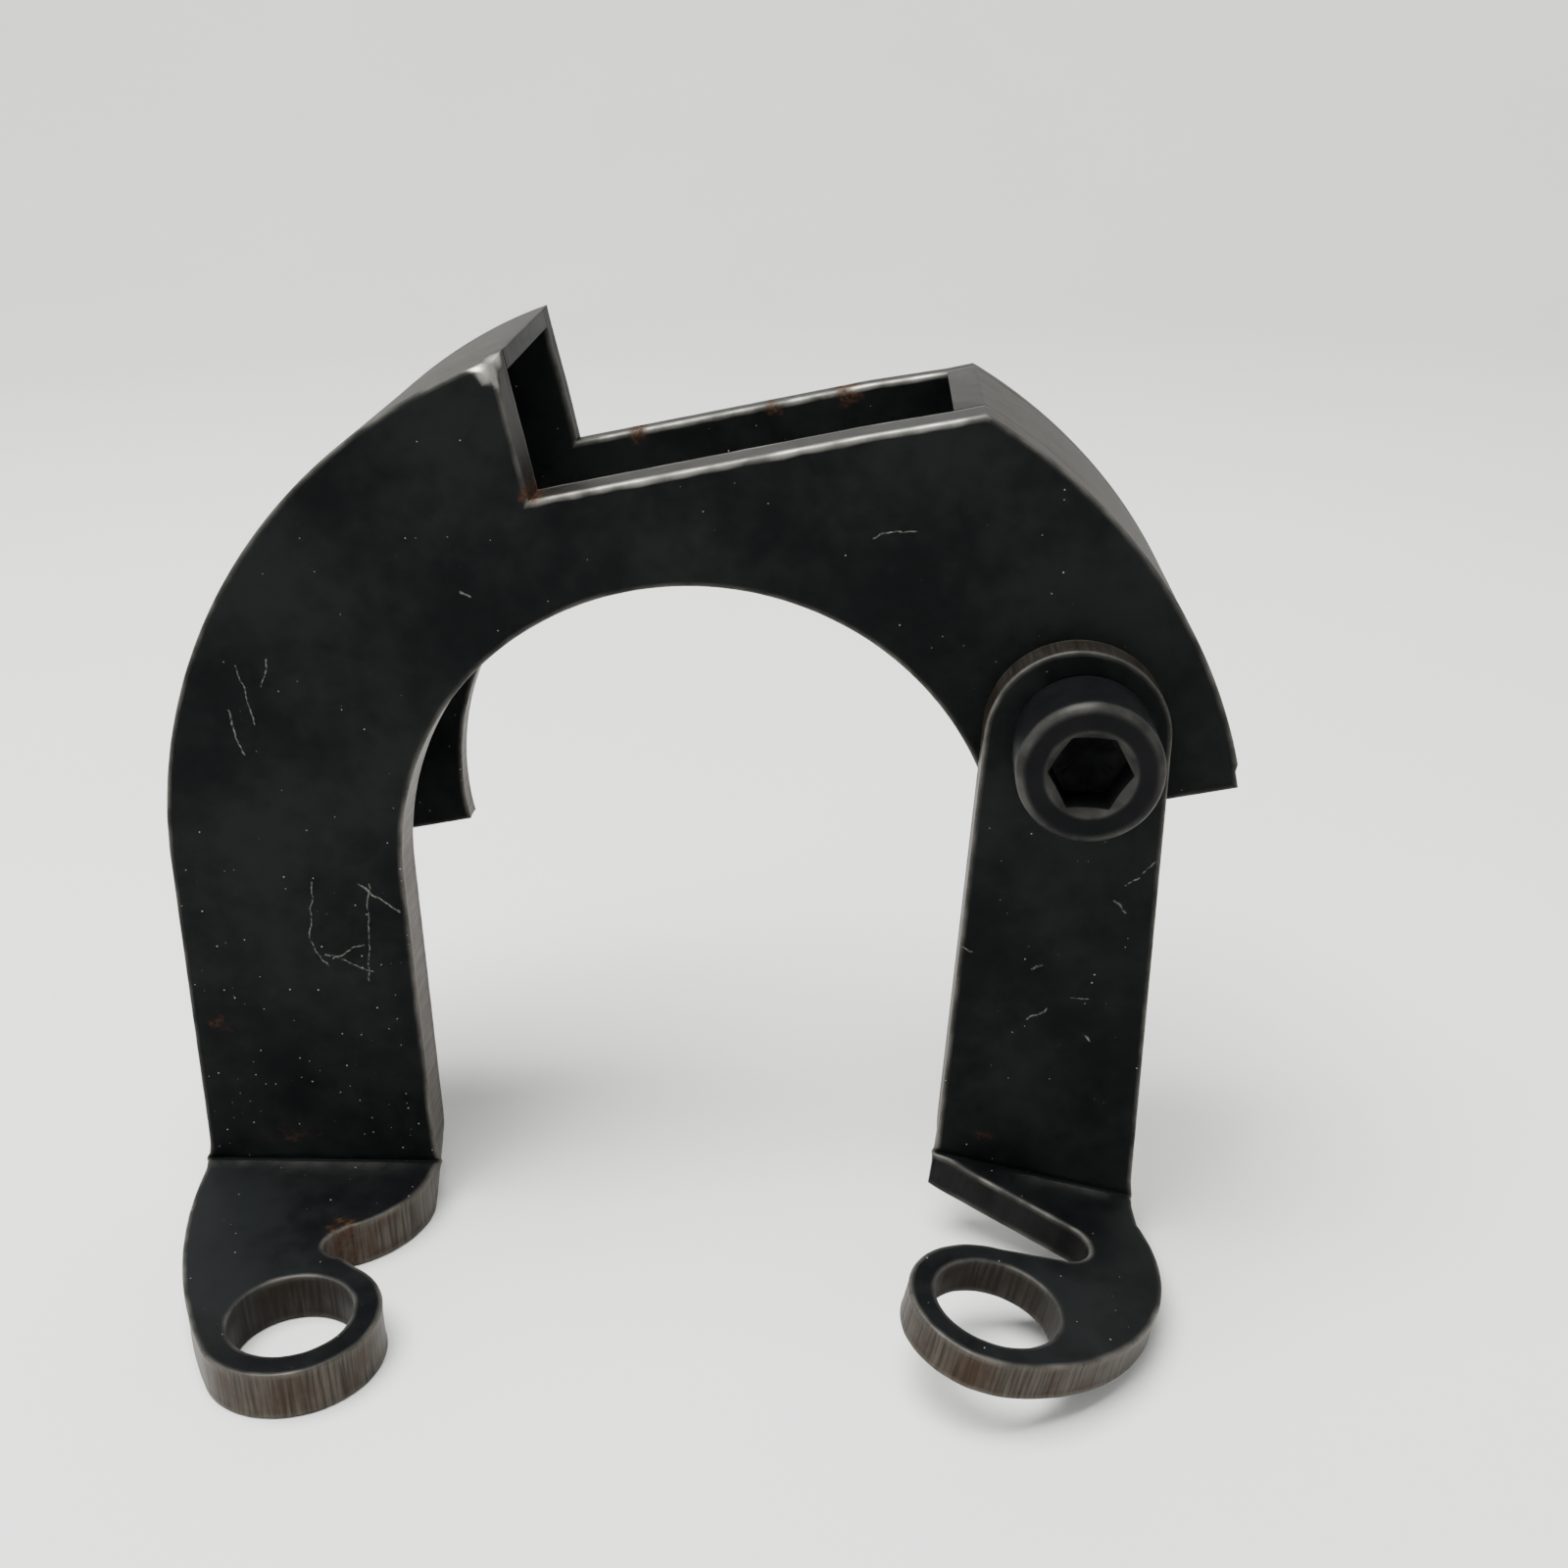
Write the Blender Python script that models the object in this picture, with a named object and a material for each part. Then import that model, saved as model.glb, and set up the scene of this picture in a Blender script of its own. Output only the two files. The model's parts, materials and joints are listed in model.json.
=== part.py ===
"""Hinged horseshoe bracket in blackened steel plate.

A hollow half ring (front plate, back plate and an outer rim in two lengths) has a stepped pocket cut
into its crown.  The front plate runs on down as a straight arm and is folded forward into a foot with
an eyelet.  On the other side a separate leg with a matching foot turns on a cap screw, which a spring
washer and a nut inside the hollow hold in tension.

Frame: +Z up, front of the bracket towards -Y, origin under the middle of the bracket on its base.
"""
import math

import bmesh
import bpy
from mathutils import Matrix, Vector

MM = 0.001
GAP = 0.3 * MM                      # kept between any two pieces that touch

# half ring
RING_INNER_R = 35.75 * MM
RING_OUTER_R = 64.25 * MM
RING_TILT = math.radians(10.3)      # the half ring leans to the left by this much
HOUSING_DEPTH = 36.0 * MM
FRONT_T = 6.0 * MM
BACK_T = 3.5 * MM
RIM_T = 2.2 * MM

# stepped pocket in the crown, in the half ring's own tilted frame
POCKET_FLOOR = 48.0 * MM
POCKET_SIDE = -8.5 * MM

# arm and its foot
FOLD_R = 0.5 * MM                   # inner radius of both folds
FOLD_STEPS = 6
FOOT_TOP = -40.4 * MM               # top of the arm's foot, below the ring's centre
EYE_R = 7.0 * MM
ARM_EYE = Vector((-45.0, -31.0)) * MM
ARM_EYELET_R = 10.3 * MM
ARM_SWEEP_R = 70.65 * MM            # outer edge of the arm's foot
ARM_SWEEP_ANGLE = math.radians(33.24)
ARM_NOTCH = Vector((-42.3, -17.5)) * MM
ARM_NOTCH_R = 2.8 * MM
ARM_LOBE = Vector((-48.9, -2.4)) * MM
ARM_LOBE_R = 13.3 * MM

# leg, in its own frame: the pivot is the origin and its fold line is level
PIVOT = Vector((47.0, 10.8)) * MM   # in the half ring's tilted frame
LEG_T = 4.5 * MM
LEG_TOP_R = 10.4 * MM
LEG_TOP_SHIFT = -0.5 * MM           # the rounded top is struck a little off the screw
LEG_LEFT_LEAN = math.radians(8.9)
LEG_RIGHT_LEAN = math.radians(12.4)
LEG_FOOT_TOP = -56.15 * MM
LEG_EYE = Vector((4.3, -31.65)) * MM
LEG_EYELET_R = 10.05 * MM
LEG_SWEEP_R = 22.6 * MM
LEG_SWEEP_ANGLE = math.radians(101.4)
LEG_WAIST_Y = -10.8 * MM
LEG_NOTCH = Vector((12.5, -17.6)) * MM
LEG_NOTCH_R = 3.55 * MM
LEG_HANG = math.radians(14.15)      # the leg leans inwards by this much, and its foot clears the base

# M10 cap screw, nut and spring washer
SCREW_R = 5.0 * MM
SCREW_LENGTH = 25.0 * MM
HEAD_R = 8.0 * MM
HEAD_HEIGHT = 10.0 * MM
HEAD_CHAMFER = 0.7 * MM
SOCKET_FLATS = 8.0 * MM
SOCKET_DEPTH = 5.2 * MM
HOLE_R = SCREW_R + GAP
NUT_FLATS = 16.0 * MM
NUT_HEIGHT = 8.4 * MM
WASHER_R = 9.0 * MM
WASHER_T = 2.2 * MM
WASHER_SPLIT = math.radians(14)

# steps that follow from the sizes above
FOOT_BASE = FOOT_TOP - FRONT_T
LEG_BACK_Y = -GAP
LEG_FRONT_Y = LEG_BACK_Y - LEG_T
ARM_SWEEP_CENTRE = ARM_EYE + (ARM_SWEEP_R - ARM_EYELET_R) * Vector(
    (math.cos(ARM_SWEEP_ANGLE), math.sin(ARM_SWEEP_ANGLE)))
ARM_LEFT = ARM_SWEEP_CENTRE.x - ARM_SWEEP_R
LEG_SWEEP_CENTRE = LEG_EYE + (LEG_SWEEP_R - LEG_EYELET_R) * Vector(
    (math.cos(LEG_SWEEP_ANGLE), math.sin(LEG_SWEEP_ANGLE)))


def tilted(u, w):
    """A point of the half ring's tilted frame, given in the upright frame of the ring's centre."""
    return (u * math.cos(RING_TILT) - w * math.sin(RING_TILT),
            u * math.sin(RING_TILT) + w * math.cos(RING_TILT))


PIVOT_X, PIVOT_Z = tilted(*PIVOT)

# the ring's centre, on the front face, seen from the origin
CENTRE = Vector((-(RING_OUTER_R * math.cos(RING_TILT) + ARM_LEFT) / 2,
                 (LEG_EYELET_R - LEG_EYE.y - HOUSING_DEPTH) / 2,
                 -FOOT_BASE))


def clear_scene():
    for obj in list(bpy.data.objects):
        bpy.data.objects.remove(obj, do_unlink=True)


def steel(name, colour, roughness):
    material = bpy.data.materials.new(name)
    material.use_nodes = True
    shader = material.node_tree.nodes["Principled BSDF"]
    shader.inputs["Base Color"].default_value = (*colour, 1.0)
    shader.inputs["Roughness"].default_value = roughness
    shader.inputs["Metallic"].default_value = 1.0
    return material


def empty(name, location, turn=0.0, parent=None):
    """An empty that carries pieces; turn is its rotation about +Y."""
    obj = bpy.data.objects.new(name, None)
    bpy.context.collection.objects.link(obj)
    obj.location = location
    obj.rotation_euler = (0.0, turn, 0.0)
    obj.parent = parent
    return obj


def add_object(name, mesh_data, parent, material=None):
    mesh = bpy.data.meshes.new(name)
    mesh_data.to_mesh(mesh)
    mesh_data.free()
    obj = bpy.data.objects.new(name, mesh)
    bpy.context.collection.objects.link(obj)
    obj.parent = parent
    if material:
        mesh.materials.append(material)
        mesh.shade_smooth()
        mesh.set_sharp_from_angle(angle=math.radians(30))
    return obj


def arc(centre, radius, start, end, steps):
    """Points along an arc from start to end, in degrees; both ends are included."""
    points = []
    for step in range(steps + 1):
        angle = math.radians(start + (end - start) * step / steps)
        points.append((centre[0] + radius * math.cos(angle), centre[1] + radius * math.sin(angle)))
    return points


def slab(outline, front_y, thickness):
    """A closed plate: the outline in X and Z, extruded back from front_y."""
    mesh = bmesh.new()
    face = mesh.faces.new([mesh.verts.new((x, front_y, z)) for x, z in outline])
    extruded = bmesh.ops.extrude_face_region(mesh, geom=[face])["geom"]
    moved = [item for item in extruded if isinstance(item, bmesh.types.BMVert)]
    bmesh.ops.translate(mesh, vec=(0.0, thickness, 0.0), verts=moved)
    bmesh.ops.recalc_face_normals(mesh, faces=mesh.faces)
    return mesh


def turned(profile, steps):
    """A closed turned solid about local Z; the profile of (radius, height) starts and ends on the axis."""
    mesh = bmesh.new()
    verts = [mesh.verts.new((radius, 0.0, height)) for radius, height in profile]
    edges = [mesh.edges.new(pair) for pair in zip(verts, verts[1:])]
    bmesh.ops.spin(mesh, geom=verts + edges, cent=(0, 0, 0), axis=(0, 0, 1),
                   angle=math.tau, steps=steps, use_merge=True)
    bmesh.ops.remove_doubles(mesh, verts=mesh.verts, dist=0.00001)
    bmesh.ops.recalc_face_normals(mesh, faces=mesh.faces)
    return mesh


def prism(radius, height, sides, start=0.0):
    """A closed prism about local Z, centred on the origin."""
    mesh = bmesh.new()
    bmesh.ops.create_cone(mesh, cap_ends=True, segments=sides, radius1=radius, radius2=radius,
                          depth=height, matrix=Matrix.Rotation(start, 4, "Z"))
    return mesh


def boolean(target, tool, operation="DIFFERENCE"):
    tool.hide_render = True
    tool.display_type = "WIRE"
    modifier = target.modifiers.new(tool.name, "BOOLEAN")
    modifier.operation = operation
    modifier.object = tool


def fold_forward(mesh, front_y, thickness, foot_top):
    """Fold a flat slab forward, so that what hangs below the fold becomes a foot."""
    bend_top = foot_top + FOLD_R
    bend_length = flat_bend(thickness)
    for step in range(FOLD_STEPS + 1):
        level = bend_top - bend_length * step / FOLD_STEPS
        geometry = mesh.verts[:] + mesh.edges[:] + mesh.faces[:]
        bmesh.ops.bisect_plane(mesh, geom=geometry, plane_co=(0, 0, level), plane_no=(0, 0, 1),
                               dist=0.000001)
    for vert in mesh.verts:
        depth = vert.co.y - front_y
        drop = bend_top - vert.co.z
        if drop <= 0:
            continue
        turn = min(drop / bend_length, 1.0) * math.pi / 2
        beyond = max(drop - bend_length, 0.0)
        vert.co.y = front_y - FOLD_R + (FOLD_R + depth) * math.cos(turn) - beyond
        vert.co.z = bend_top - (FOLD_R + depth) * math.sin(turn)
    bmesh.ops.recalc_face_normals(mesh, faces=mesh.faces)


def flat_bend(thickness):
    """Length of flat plate that a right-angled fold takes up."""
    return math.pi / 2 * (FOLD_R + 0.4 * thickness)


def flat_points(points, front_y, thickness, foot_top):
    """Foot outline points (x, y) laid out in the flat slab, as (x, z)."""
    bend_bottom = foot_top + FOLD_R - flat_bend(thickness)
    return [(x, bend_bottom + (y - front_y + FOLD_R)) for x, y in points]


def ring_pocket_edge():
    """Outer edge of the half ring, right end to left end in its tilted frame, with the pocket cut in."""
    floor_angle = math.degrees(math.asin(POCKET_FLOOR / RING_OUTER_R))
    side_angle = 90 - math.degrees(math.asin(POCKET_SIDE / RING_OUTER_R))
    right = arc((0, 0), RING_OUTER_R, 0, floor_angle, 24)
    left = arc((0, 0), RING_OUTER_R, side_angle, 180, 36)
    return right + [(POCKET_SIDE, POCKET_FLOOR)] + left


def make_front_plate(frame, tools_parent, material):
    arm_end = math.degrees(RING_TILT)
    ring_edge = [tilted(u, w) for u, w in ring_pocket_edge()]
    outline = [point for point in ring_edge if point[1] > 0]
    outline.append((-RING_OUTER_R, 0.0))
    foot = []
    sweep_start = 180 + math.degrees(math.asin((ARM_SWEEP_CENTRE.y + FOLD_R) / ARM_SWEEP_R))
    sweep_end = 180 + math.degrees(ARM_SWEEP_ANGLE)
    foot += arc(ARM_SWEEP_CENTRE, ARM_SWEEP_R, sweep_start, sweep_end, 14)
    foot += arc(ARM_EYE, ARM_EYELET_R, sweep_end, 420, 36)[1:]
    foot += arc(ARM_NOTCH, ARM_NOTCH_R, 270, 125, 10)
    foot += arc(ARM_LOBE, ARM_LOBE_R, -64.5, 0, 14)
    outline.append((foot[0][0], FOOT_TOP + FOLD_R))
    outline += flat_points(foot, 0.0, FRONT_T, FOOT_TOP)
    outline.append((foot[-1][0], FOOT_TOP + FOLD_R))
    outline += arc((0, 0), RING_INNER_R, 180, arm_end, 48)
    mesh = slab(outline, 0.0, FRONT_T)
    fold_forward(mesh, 0.0, FRONT_T, FOOT_TOP)
    plate = add_object("front_plate", mesh, frame, material)
    eye = add_object("arm_eye_tool", prism(EYE_R, 4 * FRONT_T, 48), frame)
    eye.location = (ARM_EYE.x, ARM_EYE.y, FOOT_TOP)
    boolean(plate, eye)
    hole = add_object("pivot_hole_tool", prism(HOLE_R, 4 * FRONT_T, 32), tools_parent)
    hole.rotation_euler = (math.pi / 2, 0.0, 0.0)
    boolean(plate, hole)


def make_back_plate(tilted_frame, material):
    outline = ring_pocket_edge() + arc((0, 0), RING_INNER_R, 180, 0, 54)
    mesh = slab(outline, HOUSING_DEPTH - BACK_T, BACK_T)
    add_object("back_plate", mesh, tilted_frame, material)


def make_rims(tilted_frame, material):
    """The outer wall of the hollow: one length each side of the pocket."""
    inner_r = RING_OUTER_R - RIM_T
    front_y = FRONT_T + GAP
    width = HOUSING_DEPTH - BACK_T - GAP - front_y
    outer_floor, inner_floor = [math.degrees(math.asin(POCKET_FLOOR / r)) for r in (RING_OUTER_R, inner_r)]
    outer_side, inner_side = [90 - math.degrees(math.asin(POCKET_SIDE / r)) for r in (RING_OUTER_R, inner_r)]
    right = arc((0, 0), RING_OUTER_R, 0, outer_floor, 24) + arc((0, 0), inner_r, inner_floor, 0, 24)
    left = arc((0, 0), RING_OUTER_R, outer_side, 180, 36) + arc((0, 0), inner_r, 180, inner_side, 36)
    for name, outline in (("right_rim", right), ("left_rim", left)):
        add_object(name, slab(outline, front_y, width), tilted_frame, material)


def make_leg(leg_axis, material):
    left_end = 180 + math.degrees(LEG_LEFT_LEAN)
    right_start = math.degrees(LEG_RIGHT_LEAN)
    top = arc((LEG_TOP_SHIFT, 0), LEG_TOP_R, right_start, left_end, 40)
    bend_top = LEG_FOOT_TOP + FOLD_R
    left_x = top[-1][0] + (top[-1][1] - bend_top) * math.tan(LEG_LEFT_LEAN)
    right_x = top[0][0] + (top[0][1] - bend_top) * math.tan(LEG_RIGHT_LEAN)
    sweep_end = math.degrees(math.asin((LEG_WAIST_Y - LEG_SWEEP_CENTRE.y) / LEG_SWEEP_R))
    sweep_start = math.degrees(LEG_SWEEP_ANGLE) - 180
    foot = [(left_x, LEG_FRONT_Y - FOLD_R)]
    foot += arc(LEG_NOTCH, LEG_NOTCH_R, 52, -80, 12)
    foot += arc(LEG_EYE, LEG_EYELET_R, 88, 360 + sweep_start, 36)
    foot += arc(LEG_SWEEP_CENTRE, LEG_SWEEP_R, sweep_start, sweep_end, 28)[1:]
    foot.append((right_x, LEG_FRONT_Y - FOLD_R))
    outline = top + [(left_x, bend_top)]
    outline += flat_points(foot, LEG_FRONT_Y, LEG_T, LEG_FOOT_TOP)
    outline.append((right_x, bend_top))
    mesh = slab(outline, LEG_FRONT_Y, LEG_T)
    fold_forward(mesh, LEG_FRONT_Y, LEG_T, LEG_FOOT_TOP)
    leg = add_object("pivot_leg", mesh, leg_axis, material)
    eye = add_object("leg_eye_tool", prism(EYE_R, 4 * LEG_T, 48), leg_axis)
    eye.location = (LEG_EYE.x, LEG_EYE.y, LEG_FOOT_TOP)
    boolean(leg, eye)
    hole = add_object("leg_hole_tool", prism(HOLE_R, 6 * LEG_T, 32), leg_axis)
    hole.rotation_euler = (math.pi / 2, 0.0, 0.0)
    boolean(leg, hole)


def make_screw(screw_axis, material):
    """The cap screw; its local +Z points out of the front of the bracket."""
    seat = GAP - LEG_FRONT_Y
    top = seat + HEAD_HEIGHT
    tip = seat - SCREW_LENGTH
    profile = [(0.0, tip), (SCREW_R - MM, tip), (SCREW_R, tip + MM), (SCREW_R, seat), (HEAD_R, seat),
               (HEAD_R, top - HEAD_CHAMFER), (HEAD_R - HEAD_CHAMFER, top), (0.0, top)]
    screw = add_object("pivot_screw", turned(profile, 48), screw_axis, material)
    screw.rotation_euler = (math.pi / 2, 0.0, 0.0)
    corner_r = SOCKET_FLATS / math.sqrt(3)
    socket = add_object("socket_tool", prism(corner_r, 2 * SOCKET_DEPTH, 6, math.radians(30)), screw)
    socket.location.z = top
    boolean(screw, socket)


def make_nut_and_washer(screw_axis, nut_material, washer_material):
    """Both sit inside the hollow, behind the front plate, on the screw's axis."""
    washer_front = FRONT_T + GAP
    nut_front = washer_front + WASHER_T + GAP
    split = math.degrees(WASHER_SPLIT)
    outline = (arc((0, 0), WASHER_R, split / 2, 360 - split / 2, 40)
               + arc((0, 0), HOLE_R, 360 - split / 2, split / 2, 40))
    washer = add_object("spring_washer", slab(outline, washer_front, WASHER_T), screw_axis, washer_material)
    washer.rotation_euler = (0.0, math.radians(-60), 0.0)
    corner_r = NUT_FLATS / math.sqrt(3)
    nut = add_object("pivot_nut", prism(corner_r, NUT_HEIGHT, 6), screw_axis, nut_material)
    nut.location.y = nut_front + NUT_HEIGHT / 2
    nut.rotation_euler = (math.pi / 2, 0.0, 0.0)
    half = NUT_HEIGHT / 2 + GAP
    flat_r = NUT_FLATS / 2 - 0.2 * MM
    drop = (corner_r + MM - flat_r) * math.tan(math.radians(30))
    barrel = [(0.0, -half), (flat_r, -half), (corner_r + MM, drop - half), (corner_r + MM, half - drop),
              (flat_r, half), (0.0, half)]
    corners = add_object("nut_corner_tool", turned(barrel, 48), nut)
    boolean(nut, corners, "INTERSECT")
    bore = add_object("nut_bore_tool", prism(HOLE_R, 2 * NUT_HEIGHT, 32), nut)
    boolean(nut, bore)


def build():
    clear_scene()
    plate_black = steel("blackened_plate", (0.022, 0.024, 0.027), 0.45)
    rim_black = steel("blackened_rim", (0.075, 0.075, 0.072), 0.4)
    leg_black = steel("blackened_leg", (0.024, 0.025, 0.028), 0.42)
    screw_black = steel("blackened_screw", (0.03, 0.03, 0.033), 0.35)
    nut_black = steel("blackened_nut", (0.03, 0.03, 0.03), 0.4)
    washer_black = steel("blackened_washer", (0.05, 0.05, 0.05), 0.4)

    ring_centre = empty("ring_centre", CENTRE)
    half_ring = empty("half_ring_frame", (0, 0, 0), -RING_TILT, ring_centre)
    screw_axis = empty("screw_axis", (PIVOT_X, 0, PIVOT_Z), 0.0, ring_centre)
    leg_axis = empty("leg_axis", (PIVOT_X, 0, PIVOT_Z), LEG_HANG, ring_centre)

    make_front_plate(ring_centre, screw_axis, plate_black)
    make_back_plate(half_ring, plate_black)
    make_rims(half_ring, rim_black)
    make_leg(leg_axis, leg_black)
    make_screw(screw_axis, screw_black)
    make_nut_and_washer(screw_axis, nut_black, washer_black)


build()
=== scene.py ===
"""Hinged horseshoe bracket in blackened steel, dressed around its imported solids.

The flame-cut and folded plates are laid out flat, given worn edges, and folded as a press brake folds
them.  The outer rim, the spring washer and the screw's thread are swept along their own lines.
Sizes are in millimetres until a mesh is made.
"""
import json
import math

import bmesh
import bpy
import numpy as np
from mathutils import Matrix, Vector, geometry, kdtree, noise


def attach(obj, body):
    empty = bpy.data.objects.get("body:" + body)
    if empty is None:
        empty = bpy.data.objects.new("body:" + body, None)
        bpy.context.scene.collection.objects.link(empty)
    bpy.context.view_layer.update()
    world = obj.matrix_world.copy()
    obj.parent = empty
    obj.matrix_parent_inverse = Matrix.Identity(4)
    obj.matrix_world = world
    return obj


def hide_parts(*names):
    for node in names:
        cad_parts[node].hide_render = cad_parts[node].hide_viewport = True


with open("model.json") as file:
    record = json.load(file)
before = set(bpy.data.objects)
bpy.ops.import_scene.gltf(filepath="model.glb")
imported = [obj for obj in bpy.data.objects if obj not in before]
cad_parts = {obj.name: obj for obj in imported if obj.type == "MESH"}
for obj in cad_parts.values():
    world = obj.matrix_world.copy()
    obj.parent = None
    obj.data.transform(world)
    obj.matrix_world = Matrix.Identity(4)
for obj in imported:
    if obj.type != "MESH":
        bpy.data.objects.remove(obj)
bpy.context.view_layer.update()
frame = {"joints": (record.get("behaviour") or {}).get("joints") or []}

MM = 0.001
STEP = 0.4                      # spacing of points round a cut edge
CELL = 1.7                      # spacing of points across a face
FOLD_CELL = 0.9                 # spacing of points along a fold
FOLD_ROWS = 22                  # rows of points through a fold
WALL_CELL = 0.6                 # spacing of points across a cut wall
BORDER = 0.35                   # level strip of face beside a worn edge
DRAG_DEPTH = 0.022              # depth of the drag lines across a cut wall
CORNER = math.radians(20)       # an outline that turns by more than this has a corner there

# half ring
RING_INNER_R = 35.75
RING_OUTER_R = 64.25
RING_TILT = math.radians(10.3)
HOUSING_DEPTH = 36.0
FRONT_T = 6.0
BACK_T = 3.5
RIM_T = 2.2
JOINT_LINE = 0.03               # what is left of the joint where a rim is welded and ground flush
POCKET_FLOOR = 48.0
POCKET_SIDE = -8.5

# arm and its foot
FOLD_R = 0.5
FOOT_TOP = -40.4
EYE_R = 7.0
ARM_EYE = (-45.0, -31.0)
ARM_EYELET_R = 10.3
ARM_SWEEP_R = 70.65
ARM_SWEEP_ANGLE = 33.24
ARM_NOTCH = (-42.3, -17.5)
ARM_NOTCH_R = 2.8
ARM_LOBE = (-48.9, -2.4)
ARM_LOBE_R = 13.3

# leg, about its pivot
PIVOT = (47.0, 10.8)
LEG_T = 4.5
LEG_GAP = 0.3
LEG_TOP_R = 10.4
LEG_TOP_SHIFT = -0.5
LEG_LEFT_LEAN = 8.9
LEG_RIGHT_LEAN = 12.4
LEG_FOOT_TOP = -56.15
LEG_EYE = (4.3, -31.65)
LEG_EYELET_R = 10.05
LEG_SWEEP_R = 22.6
LEG_SWEEP_ANGLE = 101.4
LEG_WAIST_Y = -10.8
LEG_NOTCH = (12.5, -17.6)
LEG_NOTCH_R = 3.55
LEG_NOTCH_SIDE = 17.0           # the outline right of this is the foot's side, not its notch
LEG_HANG = math.radians(14.15)

# cap screw, nut and spring washer
HOLE_R = 5.3
SCREW_LENGTH = 25.0
HEAD_R = 8.0
HEAD_HEIGHT = 10.0
THREAD_ROOT_R = 4.1
THREAD_PITCH = 1.5
SOCKET_FLATS = 8.0
SOCKET_DEPTH = 5.2
SOCKET_TURN = math.radians(-3.0)
NUT_FLATS = 16.0
NUT_HEIGHT = 8.4
WASHER_R = 9.0
WASHER_T = 2.2
WASHER_SPLIT = math.radians(14)
CONTACT = 0.3                   # clearance between pieces that touch


def tilted(u, w):
    """From the half ring's own leaning frame to upright."""
    return (u * math.cos(RING_TILT) - w * math.sin(RING_TILT),
            u * math.sin(RING_TILT) + w * math.cos(RING_TILT))


def untilted(x, z):
    """From upright to the half ring's own leaning frame."""
    return (x * math.cos(RING_TILT) + z * math.sin(RING_TILT),
            -x * math.sin(RING_TILT) + z * math.cos(RING_TILT))


pivot = Vector(frame["joints"][0]["pos_m"])
pivot_in_ring = tilted(*PIVOT)
ring_centre = pivot - Vector((pivot_in_ring[0], 0.0, pivot_in_ring[1])) * MM
RING_FRAME = Matrix.Translation(ring_centre)
LEG_FRAME = Matrix.Translation(pivot) @ Matrix.Rotation(LEG_HANG, 4, "Y")
SCREW_FRAME = Matrix.Translation(pivot) @ Matrix.Rotation(math.pi / 2, 4, "X")


# ---------------------------------------------------------------- outlines

def arc(centre, radius, start, end):
    """Points along an arc, in degrees, close enough together to carry the marks of the cut."""
    steps = max(2, round(abs(math.radians(end - start)) * radius / STEP))
    angles = np.radians(np.linspace(start, end, steps + 1))
    return [(centre[0] + radius * math.cos(a), centre[1] + radius * math.sin(a)) for a in angles]


def closed_loop(points):
    """A closed outline with its long sides divided and its doubled points dropped."""
    loop = []
    for first, second in zip(points, points[1:] + points[:1]):
        length = math.dist(first, second)
        if length < 0.02:
            continue
        for part in range(max(1, round(length / STEP))):
            share = part / max(1, round(length / STEP))
            loop.append((first[0] + share * (second[0] - first[0]),
                         first[1] + share * (second[1] - first[1])))
    return np.array(loop)


def flat_bend(thickness):
    """Length of flat plate that a right-angled fold takes up."""
    return math.pi / 2 * (FOLD_R + 0.4 * thickness)


def laid_flat(points, front, thickness, foot_top):
    """A foot's outline, seen from above, laid out in the flat plate below the fold."""
    bend_bottom = foot_top + FOLD_R - flat_bend(thickness)
    return [(x, bend_bottom + y - front + FOLD_R) for x, y in points]


def ring_edge():
    """Outer edge of the half ring from its right end to its left, in its own tilted frame."""
    floor_angle = math.degrees(math.asin(POCKET_FLOOR / RING_OUTER_R))
    side_angle = 90 - math.degrees(math.asin(POCKET_SIDE / RING_OUTER_R))
    return (arc((0, 0), RING_OUTER_R, 0, floor_angle) + [(POCKET_SIDE, POCKET_FLOOR)]
            + arc((0, 0), RING_OUTER_R, side_angle, 180))


def sweep_centre(eye, gap, angle):
    """Centre of a foot's long outer curve, which runs into its eyelet at this angle."""
    turn = math.radians(angle)
    return (eye[0] + gap * math.cos(turn), eye[1] + gap * math.sin(turn))


def front_outline():
    """The front half of the ring, the arm and its foot, laid flat."""
    centre = sweep_centre(ARM_EYE, ARM_SWEEP_R - ARM_EYELET_R, ARM_SWEEP_ANGLE)
    sweep_start = 180 + math.degrees(math.asin((centre[1] + FOLD_R) / ARM_SWEEP_R))
    foot = arc(centre, ARM_SWEEP_R, sweep_start, 180 + ARM_SWEEP_ANGLE)
    foot += arc(ARM_EYE, ARM_EYELET_R, 180 + ARM_SWEEP_ANGLE, 420)[1:]
    foot += arc(ARM_NOTCH, ARM_NOTCH_R, 270, 125)
    foot += arc(ARM_LOBE, ARM_LOBE_R, -64.5, 0)
    edge = [tilted(u, w) for u, w in ring_edge()]
    outline = [(x, z) for x, z in edge if x > 0 or z > 0]
    outline += [(-RING_OUTER_R, 0.0), (foot[0][0], FOOT_TOP + FOLD_R)]
    outline += laid_flat(foot, 0.0, FRONT_T, FOOT_TOP)
    outline += [(foot[-1][0], FOOT_TOP + FOLD_R)]
    outline += arc((0, 0), RING_INNER_R, 180, math.degrees(RING_TILT))
    return closed_loop(outline)


def back_outline():
    """A plain half ring with the same pocket."""
    edge = ring_edge() + arc((0, 0), RING_INNER_R, 180, 0)
    return closed_loop([tilted(u, w) for u, w in edge])


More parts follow.
